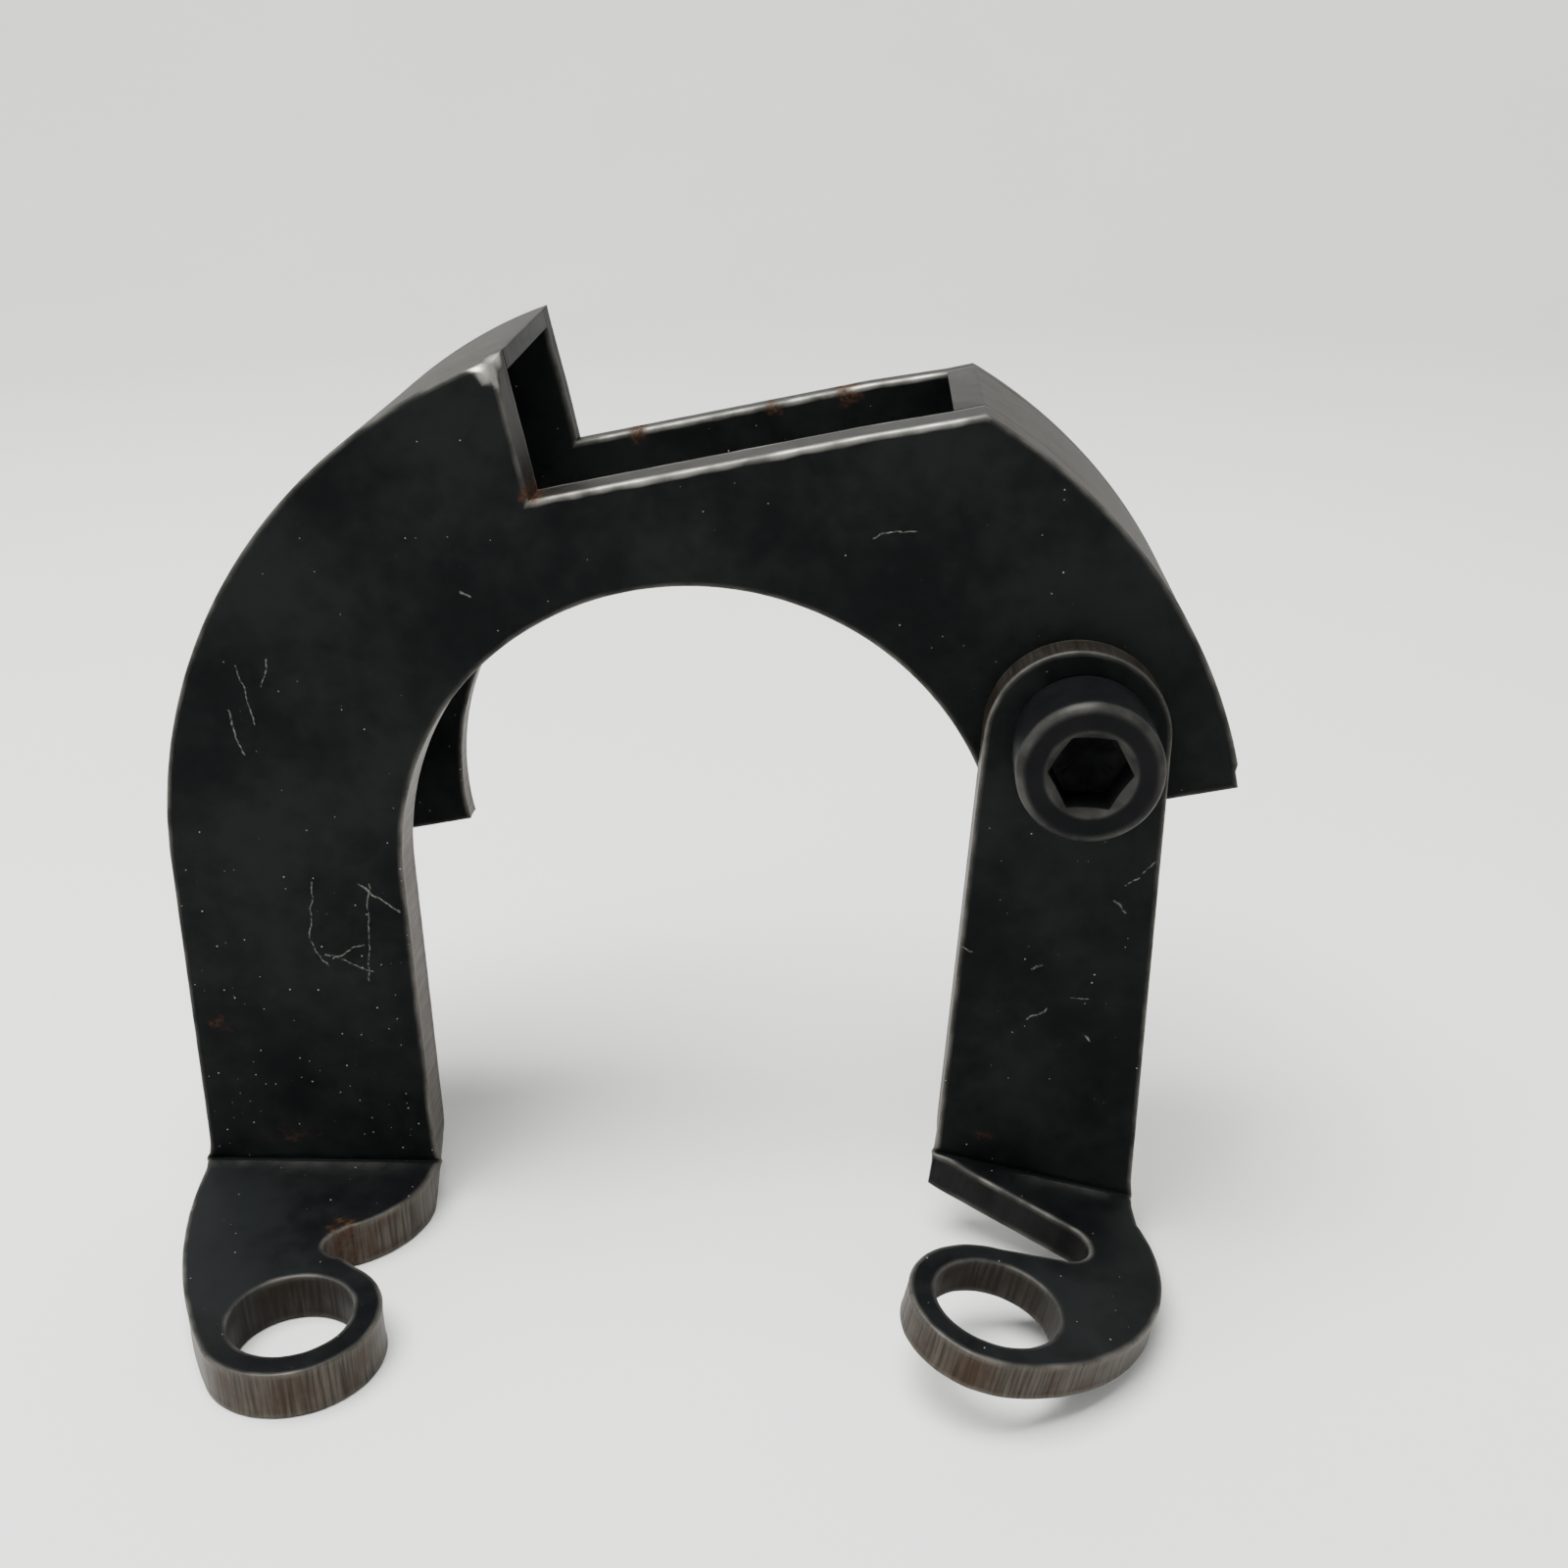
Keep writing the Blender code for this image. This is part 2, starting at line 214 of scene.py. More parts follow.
def leg_outline():
    """The leg and its foot, laid flat, about the pivot."""
    left_end = 180 + LEG_LEFT_LEAN
    top = arc((LEG_TOP_SHIFT, 0), LEG_TOP_R, LEG_RIGHT_LEAN, left_end)
    bend_top = LEG_FOOT_TOP + FOLD_R
    left_x = top[-1][0] + (top[-1][1] - bend_top) * math.tan(math.radians(LEG_LEFT_LEAN))
    right_x = top[0][0] + (top[0][1] - bend_top) * math.tan(math.radians(LEG_RIGHT_LEAN))
    centre = sweep_centre(LEG_EYE, LEG_SWEEP_R - LEG_EYELET_R, LEG_SWEEP_ANGLE)
    front = -LEG_GAP - LEG_T
    foot = [(left_x, front - FOLD_R)] + arc(LEG_NOTCH, LEG_NOTCH_R, 52, -80)
    foot += arc(LEG_EYE, LEG_EYELET_R, 88, 180 + LEG_SWEEP_ANGLE)
    foot += arc(centre, LEG_SWEEP_R, LEG_SWEEP_ANGLE - 180,
                math.degrees(math.asin((LEG_WAIST_Y - centre[1]) / LEG_SWEEP_R)))[1:]
    foot += [(right_x, front - FOLD_R)]
    outline = top + [(left_x, bend_top)]
    outline += laid_flat(foot, front, LEG_T, LEG_FOOT_TOP) + [(right_x, bend_top)]
    return closed_loop(outline)


def round_hole(centre, radius):
    """A hole's outline; it runs the other way round, so that its wall faces into the hole."""
    return closed_loop(arc(centre, radius, 360, 0))


# ---------------------------------------------------------------- plates

def sideways(loop):
    """The way out of the plate at each point of a loop, lengthened at corners."""
    total = 0
    for line in (loop - np.roll(loop, 1, axis=0), np.roll(loop, -1, axis=0) - loop):
        total = total + np.stack((line[:, 1], -line[:, 0]), axis=1) / np.hypot(*line.T)[:, None]
    return total / np.maximum((total ** 2).sum(axis=1) / 2, 0.5)[:, None]


def cleared_corners(loop, inset=1.15):
    """The loop without the points that stand too close to an outward corner to be moved in by inset."""
    before, after = loop - np.roll(loop, 1, axis=0), np.roll(loop, -1, axis=0) - loop
    cross = before[:, 0] * after[:, 1] - before[:, 1] * after[:, 0]
    turn = np.arctan2(cross, (before * after).sum(axis=1))
    kept = np.full(len(loop), True)
    for corner in np.flatnonzero(turn > CORNER):
        clear = inset * math.tan(turn[corner] / 2) + 0.1
        kept &= (np.linalg.norm(loop - loop[corner], axis=1) > clear) | (turn > CORNER)
    return loop[kept]


def inside(points, loops):
    """Whether each point lies on the plate: inside its outline and outside its holes."""
    crossings = np.zeros(len(points), int)
    for loop in loops:
        (x0, z0), (x1, z1) = loop.T, np.roll(loop, -1, axis=0).T
        for part in range(0, len(points), 500):
            x, z = points[part:part + 500, 0][:, None], points[part:part + 500, 1][:, None]
            spans = (z0 > z) != (z1 > z)
            with np.errstate(divide="ignore", invalid="ignore"):
                across = x0 + (z - z0) * (x1 - x0) / (z1 - z0)
            crossings[part:part + 500] += (spans & (x < across)).sum(axis=1)
    return crossings % 2 == 1


def face_points(loops, fold_top, fold_length):
    """Points across a face: a honeycomb, with close rows where the plate will be folded."""
    low, high = loops[0].min(axis=0), loops[0].max(axis=0)
    rows = []
    for row, z in enumerate(np.arange(low[1], high[1], CELL * 0.866)):
        if not fold_top - fold_length - CELL / 2 < z < fold_top + CELL / 2:
            x = np.arange(low[0] + CELL / 2 * (row % 2), high[0], CELL)
            rows.append(np.stack((x, np.full(len(x), z)), axis=1))
    fold_rows = FOLD_ROWS if fold_length else 0
    for z in np.linspace(fold_top + 0.4, fold_top - fold_length - 0.4, fold_rows):
        x = np.arange(low[0], high[0], FOLD_CELL)
        rows.append(np.stack((x, np.full(len(x), z)), axis=1))
    points = np.concatenate(rows)
    points = points[inside(points, loops)]
    edge = np.concatenate(loops)
    tree = kdtree.KDTree(len(edge))
    for index, point in enumerate(edge):
        tree.insert((*point, 0.0), index)
    tree.balance()
    return np.array([p for p in points if tree.find((*p, 0.0))[2] > 0.45])


def wander(points, size):
    """Smooth noise between -1 and 1 at points of two or three numbers; size is its wavelength."""
    return np.array([noise.noise(Vector((*point, 0.0)[:3]) / size) for point in points])


def worn_profile():
    """A worn edge from the face round to the wall: inset and drop in edge radii, border, wear, wall."""
    profile = [(1.0, 0.0, BORDER, 0.0, 0.0)]
    for degrees, wear in ((0, 0.5), (30, 1.0), (60, 1.0), (90, 0.5)):
        turn = math.radians(degrees)
        profile.append((1 - math.sin(turn), 1 - math.cos(turn), 0.0, wear, degrees / 90))
    return profile


def wall_rows(loop, edge_finish, thickness, seed, draw):
    """A loop's wall, as rows of points from the front face to the back.

    A point is x, z, depth, then how much it is wall, bare cut, worn and ground, then how far along
    the cut it is.  Its edges are rounded unevenly, and the drag lines of the cut run across it.
    """
    count = len(loop)
    way_out = sideways(loop)
    ground, bare, polish, edge_r = edge_finish(loop)
    along = np.concatenate(([0.0], np.cumsum(np.hypot(*np.diff(loop, axis=0).T))))
    edge_r = edge_r * (1 + 0.3 * wander(np.stack((along, along * 0 + seed), axis=1), 2.3))
    drag = np.convolve(draw.normal(0, 1, count + 4), (0.2, 0.5, 1.0, 0.5, 0.2), "valid")
    rough = (DRAG_DEPTH * np.abs(drag) + 0.03) * (1 - 0.85 * ground)
    edge = [(inset * edge_r + border, drop * edge_r, wall, wear)
            for inset, drop, border, wear, wall in worn_profile()]
    middle = max(4, round(thickness / WALL_CELL))
    between = []
    for part in range(1, middle):
        depth = edge_r + (thickness - 2 * edge_r) * part / middle
        bow = wander(np.stack((along, depth), axis=1), 2.8)
        between.append((rough + 0.025 * (bow + 1) * (1 - 0.6 * ground), depth, 1.0, 0.0))
    far_edge = [(inset, thickness - depth, wall, wear) for inset, depth, wall, wear in edge[::-1]]
    rows = []
    for inset, depth, wall, wear in edge + between + far_edge:
        spot = loop - way_out * np.broadcast_to(inset, count)[:, None]
        rows.append(np.column_stack((spot, np.broadcast_to(depth, count), np.full(count, wall),
                                     wall * bare * (1 - ground), wear * polish, wall * ground, along)))
    return rows


def face_triangles(rims, filling):
    """Triangles that fill a face, as places in a list of its rims' points and then the filling's."""
    edges, first = [], 0
    for rim in rims:
        edges += [(first + i, first + (i + 1) % len(rim)) for i in range(len(rim))]
        first += len(rim)
    points = [Vector(p) for p in np.concatenate(rims + [filling])]
    verts, _, triangles, origin, _, _ = geometry.delaunay_2d_cdt(points, edges, [], 1, 1e-7)
    middles = np.array([sum((verts[i] for i in t), Vector((0, 0))) / 3 for t in triangles])
    return [[origin[i][0] for i in t] for t, kept in zip(triangles, inside(middles, rims)) if kept]


def plate_shell(loops, thickness, seed, fold_top=0.0, fold_length=0.0):
    """A closed plate in its flat pattern: points (x, z, depth), faces, and the marks on each point.

    The loops are its outline and then its holes, each with the function that finishes its edge.
    """
    draw = np.random.default_rng(seed)
    table, faces, rims, starts = [], [], [], []
    start = 0
    for loop, edge_finish in loops:
        loop = cleared_corners(loop)
        count = len(loop)
        rows = wall_rows(loop, edge_finish, thickness, seed, draw)
        for a in range(start, start + (len(rows) - 1) * count, count):
            b = a + count
            faces += [(a + i, b + i, b + (i + 1) % count, a + (i + 1) % count) for i in range(count)]
        table += rows
        rims.append(rows[0][:, :2])
        starts.append((start, start + (len(rows) - 1) * count))
        start += len(rows) * count
    filling = face_points(rims, fold_top, fold_length)
    triangles = np.array(face_triangles(rims, filling))
    for side, depth in enumerate((0.0, thickness)):
        place = [first[side] + np.arange(len(rim)) for rim, first in zip(rims, starts)]
        place = np.concatenate(place + [start + np.arange(len(filling))])
        corners = place[triangles]
        faces += (corners if side == 0 else corners[:, ::-1]).tolist()
        table.append(np.column_stack((filling, np.full(len(filling), depth),
                                      np.zeros((len(filling), 5)))))
        start += len(filling)
    table = np.concatenate(table)
    return table[:, :3], faces, dict(zip(("wall", "cut", "wear", "ground", "along"), table[:, 3:].T))


CREASE = 0.25                   # how far the inside of a fold is pressed in


def fold_foot(flat, front, thickness, foot_top, swell, lip):
    """Fold what hangs below foot_top forward.

    The inside of the fold swells at its ends and throws up a low lip on the foot, as thick plate
    does in a press brake.
    """
    x, z, depth = flat.T.copy()
    bend_top = foot_top + FOLD_R
    length = flat_bend(thickness)
    drop = bend_top - z
    share = np.clip(drop / length, 0, 1)
    beyond = np.maximum(drop - length, 0)
    turn = share * math.pi / 2
    y = np.where(drop > 0, (FOLD_R + depth) * np.cos(turn) - FOLD_R - beyond, depth)
    height = np.where(drop > 0, bend_top - (FOLD_R + depth) * np.sin(turn), z)
    near_fold = np.abs(drop - length / 2) < length
    left, right = x[near_fold].min(), x[near_fold].max()
    side = (2 * x - left - right) / (right - left)
    inner = 1 - 2 * depth / thickness
    squeeze = np.exp(-((drop - length / 2) / (0.55 * length)) ** 2)
    x = x + swell * squeeze * inner * np.sign(side) * np.abs(side) ** 5
    ridge = np.exp(-((beyond - 0.8) / 0.6) ** 2) * (share >= 1) * np.clip(inner, 0, 1)
    uneven = 0.75 + 0.5 * wander(np.stack((x, x * 0 + lip), axis=1), 5.0)
    height = height + lip * ridge * uneven
    crease = np.exp(-((share - 0.5) / 0.3) ** 2) * (drop > 0) * (beyond <= 0) * np.clip(inner, 0, 1)
    y = y + CREASE * crease
    height = height - CREASE * crease
    return np.column_stack((x, y + front, height))


def add_object(name, data):
    """A new object in the scene, at the origin."""
    thing = bpy.data.objects.new(name, data)
    bpy.context.scene.collection.objects.link(thing)
    return thing


def make_piece(name, points, faces, marks, material, frame_matrix, sharp=35):
    """A finished piece at the origin; points are in millimetres in the frame that frame_matrix places."""
    mesh = bpy.data.meshes.new(name)
    turned = np.array(frame_matrix.to_3x3())
    world = points * MM @ turned.T + np.array(frame_matrix.translation)
    mesh.from_pydata(world.tolist(), [], faces)
    for mark, values in marks.items():
        vector = np.ndim(values) == 2
        layer = mesh.attributes.new(mark, "FLOAT_VECTOR" if vector else "FLOAT", "POINT")
        layer.data.foreach_set("vector" if vector else "value", np.ravel(values).astype(np.float32))
    mesh.materials.append(material)
    mesh.shade_smooth()
    mesh.set_sharp_from_angle(angle=math.radians(sharp))
    return add_object(name, mesh)


def patches(flat, spots):
    """How strongly each point lies in one of some round patches of (x, z, radius, strength)."""
    share = np.zeros(len(flat))
    for x, z, radius, strength in spots:
        away = np.hypot(flat[:, 0] - x, flat[:, 1] - z) / radius
        share = np.maximum(share, strength * np.clip(1.5 - away, 0, 1))
    return share


def plate_marks(flat, marks, rust, dust):
    """The marks that a plate's finish reads; dust lies only on its faces."""
    return {"flat": flat, "cut_line": np.column_stack((marks["along"], flat[:, 2], 0 * flat[:, 2])),
            "cut": marks["cut"], "ground": marks["ground"], "wear": marks["wear"], "rust": rust,
            "dust": dust * (1 - marks["wall"])}


def ring_finish(loop):
    """How an edge is finished: how far it is ground, how bare its cut is, its wear and its edge radius.

    The ring's outer edge and the pocket are ground flush; the other edges are left as cut.
    """
    u, w = untilted(loop[:, 0], loop[:, 1])
    floor = (np.abs(w - POCKET_FLOOR) < 0.05) & (u > POCKET_SIDE - 0.1)
    pocket = (np.abs(u - POCKET_SIDE) < 0.05) & (w > POCKET_FLOOR - 0.1) | floor
    outer = np.abs(np.hypot(u, w) - RING_OUTER_R) < 0.1
    ground = np.where(pocket, 0.55, np.where(outer & (w > -4), 1.0, 0.0))
    return (ground, np.where(pocket, 0.0, 1.0), np.where(floor, 0.75, 0.2),
            np.where(floor, 0.5, np.where(ground > 0, 0.35, 0.3)))


def cut_finish(loop, bare=1.0, polish=0.2):
    """An edge left as it was cut."""
    return [np.full(len(loop), value) for value in (0.0, bare, polish, 0.32)]


def eye_finish(loop):
    """The wall of a foot's eye, half blackened."""
    return cut_finish(loop, bare=0.4, polish=0.15)


def leg_finish(loop):
    """The leg's notch is black inside; its top edge gets only half the pale cut colour, painted shade that
    dims the upward-facing top wall where the light falls on it; the rest of its outline is left as cut.
    """
    ground, bare, polish, edge_r = cut_finish(loop)
    forward = LEG_FOOT_TOP + 2 * FOLD_R - flat_bend(LEG_T) - loop[:, 1]
    notch_reach = LEG_NOTCH_R - LEG_NOTCH[1] - LEG_GAP - LEG_T - 1.2
    in_notch = (forward > -1) & (forward < notch_reach) & (loop[:, 0] < LEG_NOTCH_SIDE)
    # painted shade: above 3 mm over the pivot the wall gets half the pale cut colour, so the top wall facing
    # up into the light reads dimmer
    bare = np.where(in_notch, 0.05, np.where(loop[:, 1] > 3, 0.5, bare))
    return ground, bare, np.where(in_notch, 0.25, polish), edge_r


BALL_CENTRE = np.array((5.2, 5.0, 4.6))     # of the round corner: in from its side, top and front
BALL_R = 6.9


def round_pocket_corner(points):
    """Grind the front corner round where the pocket's side meets the ring's outer edge.

    Returns the points, and how far each one was moved.
    """
    u, w = untilted(points[:, 0], points[:, 2])
    near = np.column_stack((POCKET_SIDE - u, RING_OUTER_R - np.hypot(u, w), points[:, 1]))
    away = near - BALL_CENTRE
    far = np.linalg.norm(away, axis=1)
    corner = (near < BALL_CENTRE).all(axis=1) & (near > -1).all(axis=1) & (far > BALL_R)
    pulled = BALL_CENTRE + away * (BALL_R / far)[:, None]
    shift = np.where(corner[:, None], pulled - near, 0.0)
    radial = np.hypot(u, w)
    u_new = u - shift[:, 0] - shift[:, 1] * u / radial
    w_new = w - shift[:, 1] * w / radial
    x, z = tilted(u_new, w_new)
    return np.column_stack((x, points[:, 1] + shift[:, 2], z)), np.linalg.norm(shift, axis=1)


# ---------------------------------------------------------------- finishes

def linear(colour):
    """An sRGB hex colour as linear red, green, blue and alpha."""
    parts = [int(colour[i:i + 2], 16) / 255 for i in (1, 3, 5)]
    return (*[p / 12.92 if p <= 0.04045 else ((p + 0.055) / 1.055) ** 2.4 for p in parts], 1.0)


def put(tree, kind, inputs=(), output=0, **settings):
    """Add a node and return one of its outputs.  Each input is a plain value or the output that feeds it."""
    node = tree.nodes.new(kind)
    for key, value in settings.items():
        setattr(node, key, value)
    for key, value in dict(inputs).items():
        if isinstance(value, bpy.types.NodeSocket):
            tree.links.new(value, node.inputs[key])
        else:
            node.inputs[key].default_value = value
    return node.outputs[output]


PLATE_OXIDE = linear("#0a0b0c"), linear("#161818")
SCREW_OXIDE = linear("#0b0c0d"), linear("#121214")
CUT = linear("#2a2723"), linear("#4b4640")
CUT_STAIN = linear("#30241b")
GROUND = linear("#171614"), linear("#393733")
GROUND_STAIN = linear("#1d1813")
BARE = linear("#a5a39b")
RUST = linear("#251912"), linear("#4e3423")
DUST = linear("#a9a7a0")
OXIDE_SPECULAR = 0.03           # a soft skin: hardly any mirror reflection, even at a grazing angle


def toned(tree, value, low, high, dark, pale, most=1.0):
    """A colour that goes from dark to pale, or at most that share of pale, as value goes low to high."""
    share = put(tree, "ShaderNodeMapRange", {0: value, 1: low, 2: high, 4: most},
                interpolation_type="SMOOTHSTEP")
    return put(tree, "ShaderNodeMix", {0: share, 6: dark, 7: pale}, 2, data_type="RGBA")


def laid_over(tree, share, under, top):
    """One finish over another where share is high.

    A finish is its colour, roughness, height in mm and whether it is bare metal.
    """
    colour = put(tree, "ShaderNodeMix", {0: share, 6: under[0], 7: top[0]}, 2, data_type="RGBA")
    rest = [put(tree, "ShaderNodeMix", {0: share, 2: low, 3: high})
            for low, high in zip(under[1:], top[1:])]
    return colour, *rest


def oxide_skin(tree, flat, oxide, roughness):
    """Black oxide: 22 mm clouds, 3 mm mottle and a grain of 0.3 mm, coarser than real so that it shows."""
    clouds = put(tree, "ShaderNodeTexNoise", {"Vector": flat, "Scale": 1 / 22.0, "Detail": 2.0})
    mottle = put(tree, "ShaderNodeTexNoise", {"Vector": flat, "Scale": 1 / 3.0, "Detail": 4.0,
                                              "Roughness": 0.6})
    grain = put(tree, "ShaderNodeTexNoise", {"Vector": flat, "Scale": 1 / 0.3, "Detail": 2.0})
    tone = put(tree, "ShaderNodeMath", {0: mottle, 1: 0.5, 2: clouds}, operation="MULTIPLY_ADD")
    colour = toned(tree, tone, 0.55, 0.95, *oxide)
    rough = put(tree, "ShaderNodeMapRange", {0: mottle, 1: 0.3, 2: 0.7, 3: roughness - 0.04,
                                             4: roughness + 0.06})
    height = put(tree, "ShaderNodeMath", {0: grain, 1: 0.005, 2: 0.0}, operation="MULTIPLY_ADD")
    height = put(tree, "ShaderNodeMath", {0: mottle, 1: 0.012, 2: height}, operation="MULTIPLY_ADD")
    return colour, rough, height, 0.0


def cut_wall(tree, flat, cut_line):
    """A flame-cut wall: drag lines 0.45 mm apart across the thickness, browned in patches of 5 mm."""
    lines = put(tree, "ShaderNodeVectorMath", {0: cut_line, 1: (1 / 0.45, 1 / 9.0, 0.0)},
                operation="MULTIPLY")
    drag = put(tree, "ShaderNodeTexNoise", {"Vector": lines, "Scale": 1.0, "Detail": 3.0},
               noise_dimensions="2D")
    stain = put(tree, "ShaderNodeTexNoise", {"Vector": flat, "Scale": 1 / 5.0, "Detail": 4.0})
    colour = toned(tree, stain, 0.42, 0.7, toned(tree, drag, 0.2, 0.85, *CUT), CUT_STAIN, 0.7)
    return colour, 0.52, put(tree, "ShaderNodeMath", {0: drag, 1: 0.03}, operation="MULTIPLY"), 1.0


def ground_wall(tree, flat, cut_line):
    """A wall ground flush: belt lines 0.25 mm apart along the edge, greyed over and stained brown."""
    lines = put(tree, "ShaderNodeVectorMath", {0: cut_line, 1: (1 / 8.0, 1 / 0.25, 0.0)},
                operation="MULTIPLY")
    belt = put(tree, "ShaderNodeTexNoise", {"Vector": lines, "Scale": 1.0, "Detail": 3.0},
               noise_dimensions="2D")
    stain = put(tree, "ShaderNodeTexNoise", {"Vector": flat, "Scale": 1 / 2.5, "Detail": 5.0,
                                             "Roughness": 0.65})
    colour = toned(tree, stain, 0.45, 0.7, toned(tree, belt, 0.25, 0.75, *GROUND), GROUND_STAIN, 0.75)
    return colour, 0.5, put(tree, "ShaderNodeMath", {0: belt, 1: 0.012}, operation="MULTIPLY"), 0.25


def rust_bloom(tree, flat):
    """Brown rust: crumbs of 0.5 mm, dark and pale."""
    crumbs = put(tree, "ShaderNodeTexNoise", {"Vector": flat, "Scale": 1 / 0.5, "Detail": 3.0})
    colour = toned(tree, crumbs, 0.35, 0.65, *RUST)
    return colour, 0.85, put(tree, "ShaderNodeMath", {0: crumbs, 1: 0.03}, operation="MULTIPLY"), 0.0


def scratch_share(tree, flat, scratches):
    """Where the face is scratched: thin wavy lines, each from one place to another on the flat plate."""
    sway = put(tree, "ShaderNodeTexNoise", {"Vector": flat, "Scale": 1 / 2.5, "Detail": 3.0}, "Color")
    sway = put(tree, "ShaderNodeVectorMath", {0: sway, 1: (0.5, 0.5, 0.5)}, operation="SUBTRACT")
    swayed = put(tree, "ShaderNodeVectorMath", {0: sway, 1: (1.4, 1.4, 0.0), 2: flat},
                 operation="MULTIPLY_ADD")
    scratched = 0.0
    for (x0, z0), (x1, z1), width in scratches:
        run = Vector((x1 - x0, z1 - z0, 0.0))
        from_start = put(tree, "ShaderNodeVectorMath", {0: swayed, 1: (x0, z0, 0.0)},
                         operation="SUBTRACT")
        share = put(tree, "ShaderNodeVectorMath", {0: from_start, 1: run / run.length_squared}, "Value",
                    operation="DOT_PRODUCT")
        share = put(tree, "ShaderNodeClamp", {0: share})
        reach = put(tree, "ShaderNodeVectorMath", {0: run, "Scale": share}, operation="SCALE")
        gap = put(tree, "ShaderNodeVectorMath", {0: from_start, 1: reach}, "Value", operation="DISTANCE")
        line = put(tree, "ShaderNodeMapRange", {0: gap, 1: width, 2: width * 0.2},
                   interpolation_type="SMOOTHSTEP")
        scratched = put(tree, "ShaderNodeMath", {0: scratched, 1: line}, operation="MAXIMUM")
    skips = put(tree, "ShaderNodeTexNoise", {"Vector": flat, "Scale": 1 / 0.5, "Detail": 3.0})
    skips = put(tree, "ShaderNodeMapRange", {0: skips, 1: 0.35, 2: 0.65, 4: 0.32})
    return put(tree, "ShaderNodeMath", {0: scratched, 1: skips}, operation="MULTIPLY")


def dust_share(tree, flat, dust):
    """Where a speck lies: 0.1 to 0.3 mm across, in up to one in five cells of 1.2 mm where dust settles."""
    gap = put(tree, "ShaderNodeTexVoronoi", {"Vector": flat, "Scale": 1 / 1.2}, "Distance",
              voronoi_dimensions="2D")
    drawn = put(tree, "ShaderNodeSeparateColor", {0: gap.node.outputs["Color"]}, "Red")
    size = put(tree, "ShaderNodeMath", {0: drawn.node.outputs["Green"], 1: 0.06, 2: 0.03},
               operation="MULTIPLY_ADD")
    near = put(tree, "ShaderNodeMath", {0: size, 1: gap}, operation="SUBTRACT")
    speck = put(tree, "ShaderNodeMapRange", {0: near, 1: 0.0, 2: 0.03}, interpolation_type="SMOOTHSTEP")
    chance = put(tree, "ShaderNodeMath", {0: dust, 1: 0.2, 2: drawn}, operation="MULTIPLY_ADD")
    chosen = put(tree, "ShaderNodeMapRange", {0: chance, 1: 1.0, 2: 1.03, 4: 0.7})
    return put(tree, "ShaderNodeMath", {0: speck, 1: chosen}, operation="MULTIPLY")


def blackened_steel(name, oxide, roughness, scratches=()):
    """Hot-rolled steel plate with a hot black oxide finish.

    To the eye: a smooth, satin, neutral black with faint clouds, brownish grey with fine lines across
    the thickness where it was cut, plain grey where it was ground, paler along worn edges, with
    pinprick dust, thin scratches and a little brown rust.
    """
    material = bpy.data.materials.new(name)
    material.use_nodes = True
    tree = material.node_tree
    flat, cut_line = [put(tree, "ShaderNodeAttribute", (), "Vector", attribute_name=key)
                      for key in ("flat", "cut_line")]
    cut, ground, wear, rust, dust = [put(tree, "ShaderNodeAttribute", (), "Fac", attribute_name=key)
                                     for key in ("cut", "ground", "wear", "rust", "dust")]
    finish = oxide_skin(tree, flat, oxide, roughness)
    finish = laid_over(tree, cut, finish, cut_wall(tree, flat, cut_line))
    finish = laid_over(tree, ground, finish, ground_wall(tree, flat, cut_line))

    # edges rubbed down to bare steel in soft lengths of 2 to 6 mm, right through where wear is full
    rub = put(tree, "ShaderNodeTexNoise", {"Vector": flat, "Scale": 1 / 5.0, "Detail": 4.0})
    rub = put(tree, "ShaderNodeMapRange", {0: rub, 1: 0.42, 2: 0.64, 3: 0.3})
    worn = put(tree, "ShaderNodeMath", {0: wear, 1: rub}, operation="MULTIPLY")
    finish = laid_over(tree, worn, finish, (BARE, 0.3, 0.0, 1.0))

    crumbs = put(tree, "ShaderNodeTexNoise", {"Vector": flat, "Scale": 1 / 1.4, "Detail": 6.0,
                                              "Roughness": 0.7})
    rusty = put(tree, "ShaderNodeMath", {0: crumbs, 1: rust}, operation="ADD")
    rusty = put(tree, "ShaderNodeMapRange", {0: rusty, 1: 0.8, 2: 1.35}, interpolation_type="SMOOTHSTEP")
    finish = laid_over(tree, rusty, finish, rust_bloom(tree, flat))
    if scratches:
        finish = laid_over(tree, scratch_share(tree, flat, scratches), finish,
                           (BARE, 0.4, -0.02, 1.0))
    colour, rough, height, metal = laid_over(tree, dust_share(tree, flat, dust), finish,
                                             (DUST, 0.9, 0.03, 0.0))
    bumps = put(tree, "ShaderNodeBump", {"Distance": MM, "Height": height})
    shader = tree.nodes["Principled BSDF"]
    for socket, value in (("Base Color", colour), ("Roughness", rough), ("Metallic", metal),
                          ("Normal", bumps)):
        tree.links.new(value, shader.inputs[socket])
    shader.inputs["Specular IOR Level"].default_value = OXIDE_SPECULAR
    return material


# scratches on the flat plates: start, end and width
PLATE_SCRATCHES = [((20.9, 41.0), (23.3, 41.9), 0.16), ((23.3, 41.9), (25.9, 41.9), 0.14),
                   ((-41.4, -1.5), (-36.7, -4.7), 0.16), ((-45.7, -11.5), (-41.8, -9.4), 0.14),
                   ((-46.4, -10.8), (-41.0, -12.8), 0.16), ((-40.2, -1.5), (-41.5, -14.2), 0.12),
                   ((-46.9, -0.8), (-48.4, -8.8), 0.12), ((-48.4, -8.8), (-46.4, -12.2), 0.12),
                   ((-52.7, 26.6), (-51.2, 19.4), 0.12), ((-49.8, 24.2), (-48.9, 27.2), 0.14),
                   ((-54.4, 21.2), (-53.1, 15.7), 0.12), ((-25.5, 35.2), (-24.4, 34.7), 0.18)]
LEG_SCRATCHES = [((9.8, -16.0), (12.2, -12.2), 0.14), ((2.3, -29.0), (3.3, -28.1), 0.2),
                 ((10.7, -35.7), (11.6, -36.4), 0.2), ((3.5, -35.5), (5.4, -33.6), 0.15),
                 ((9.2, -18.1), (10.7, -19.0), 0.16), ((-6.6, -28.3), (-5.2, -28.4), 0.14),
                 ((7.8, -31.6), (9.6, -31.0), 0.12)]
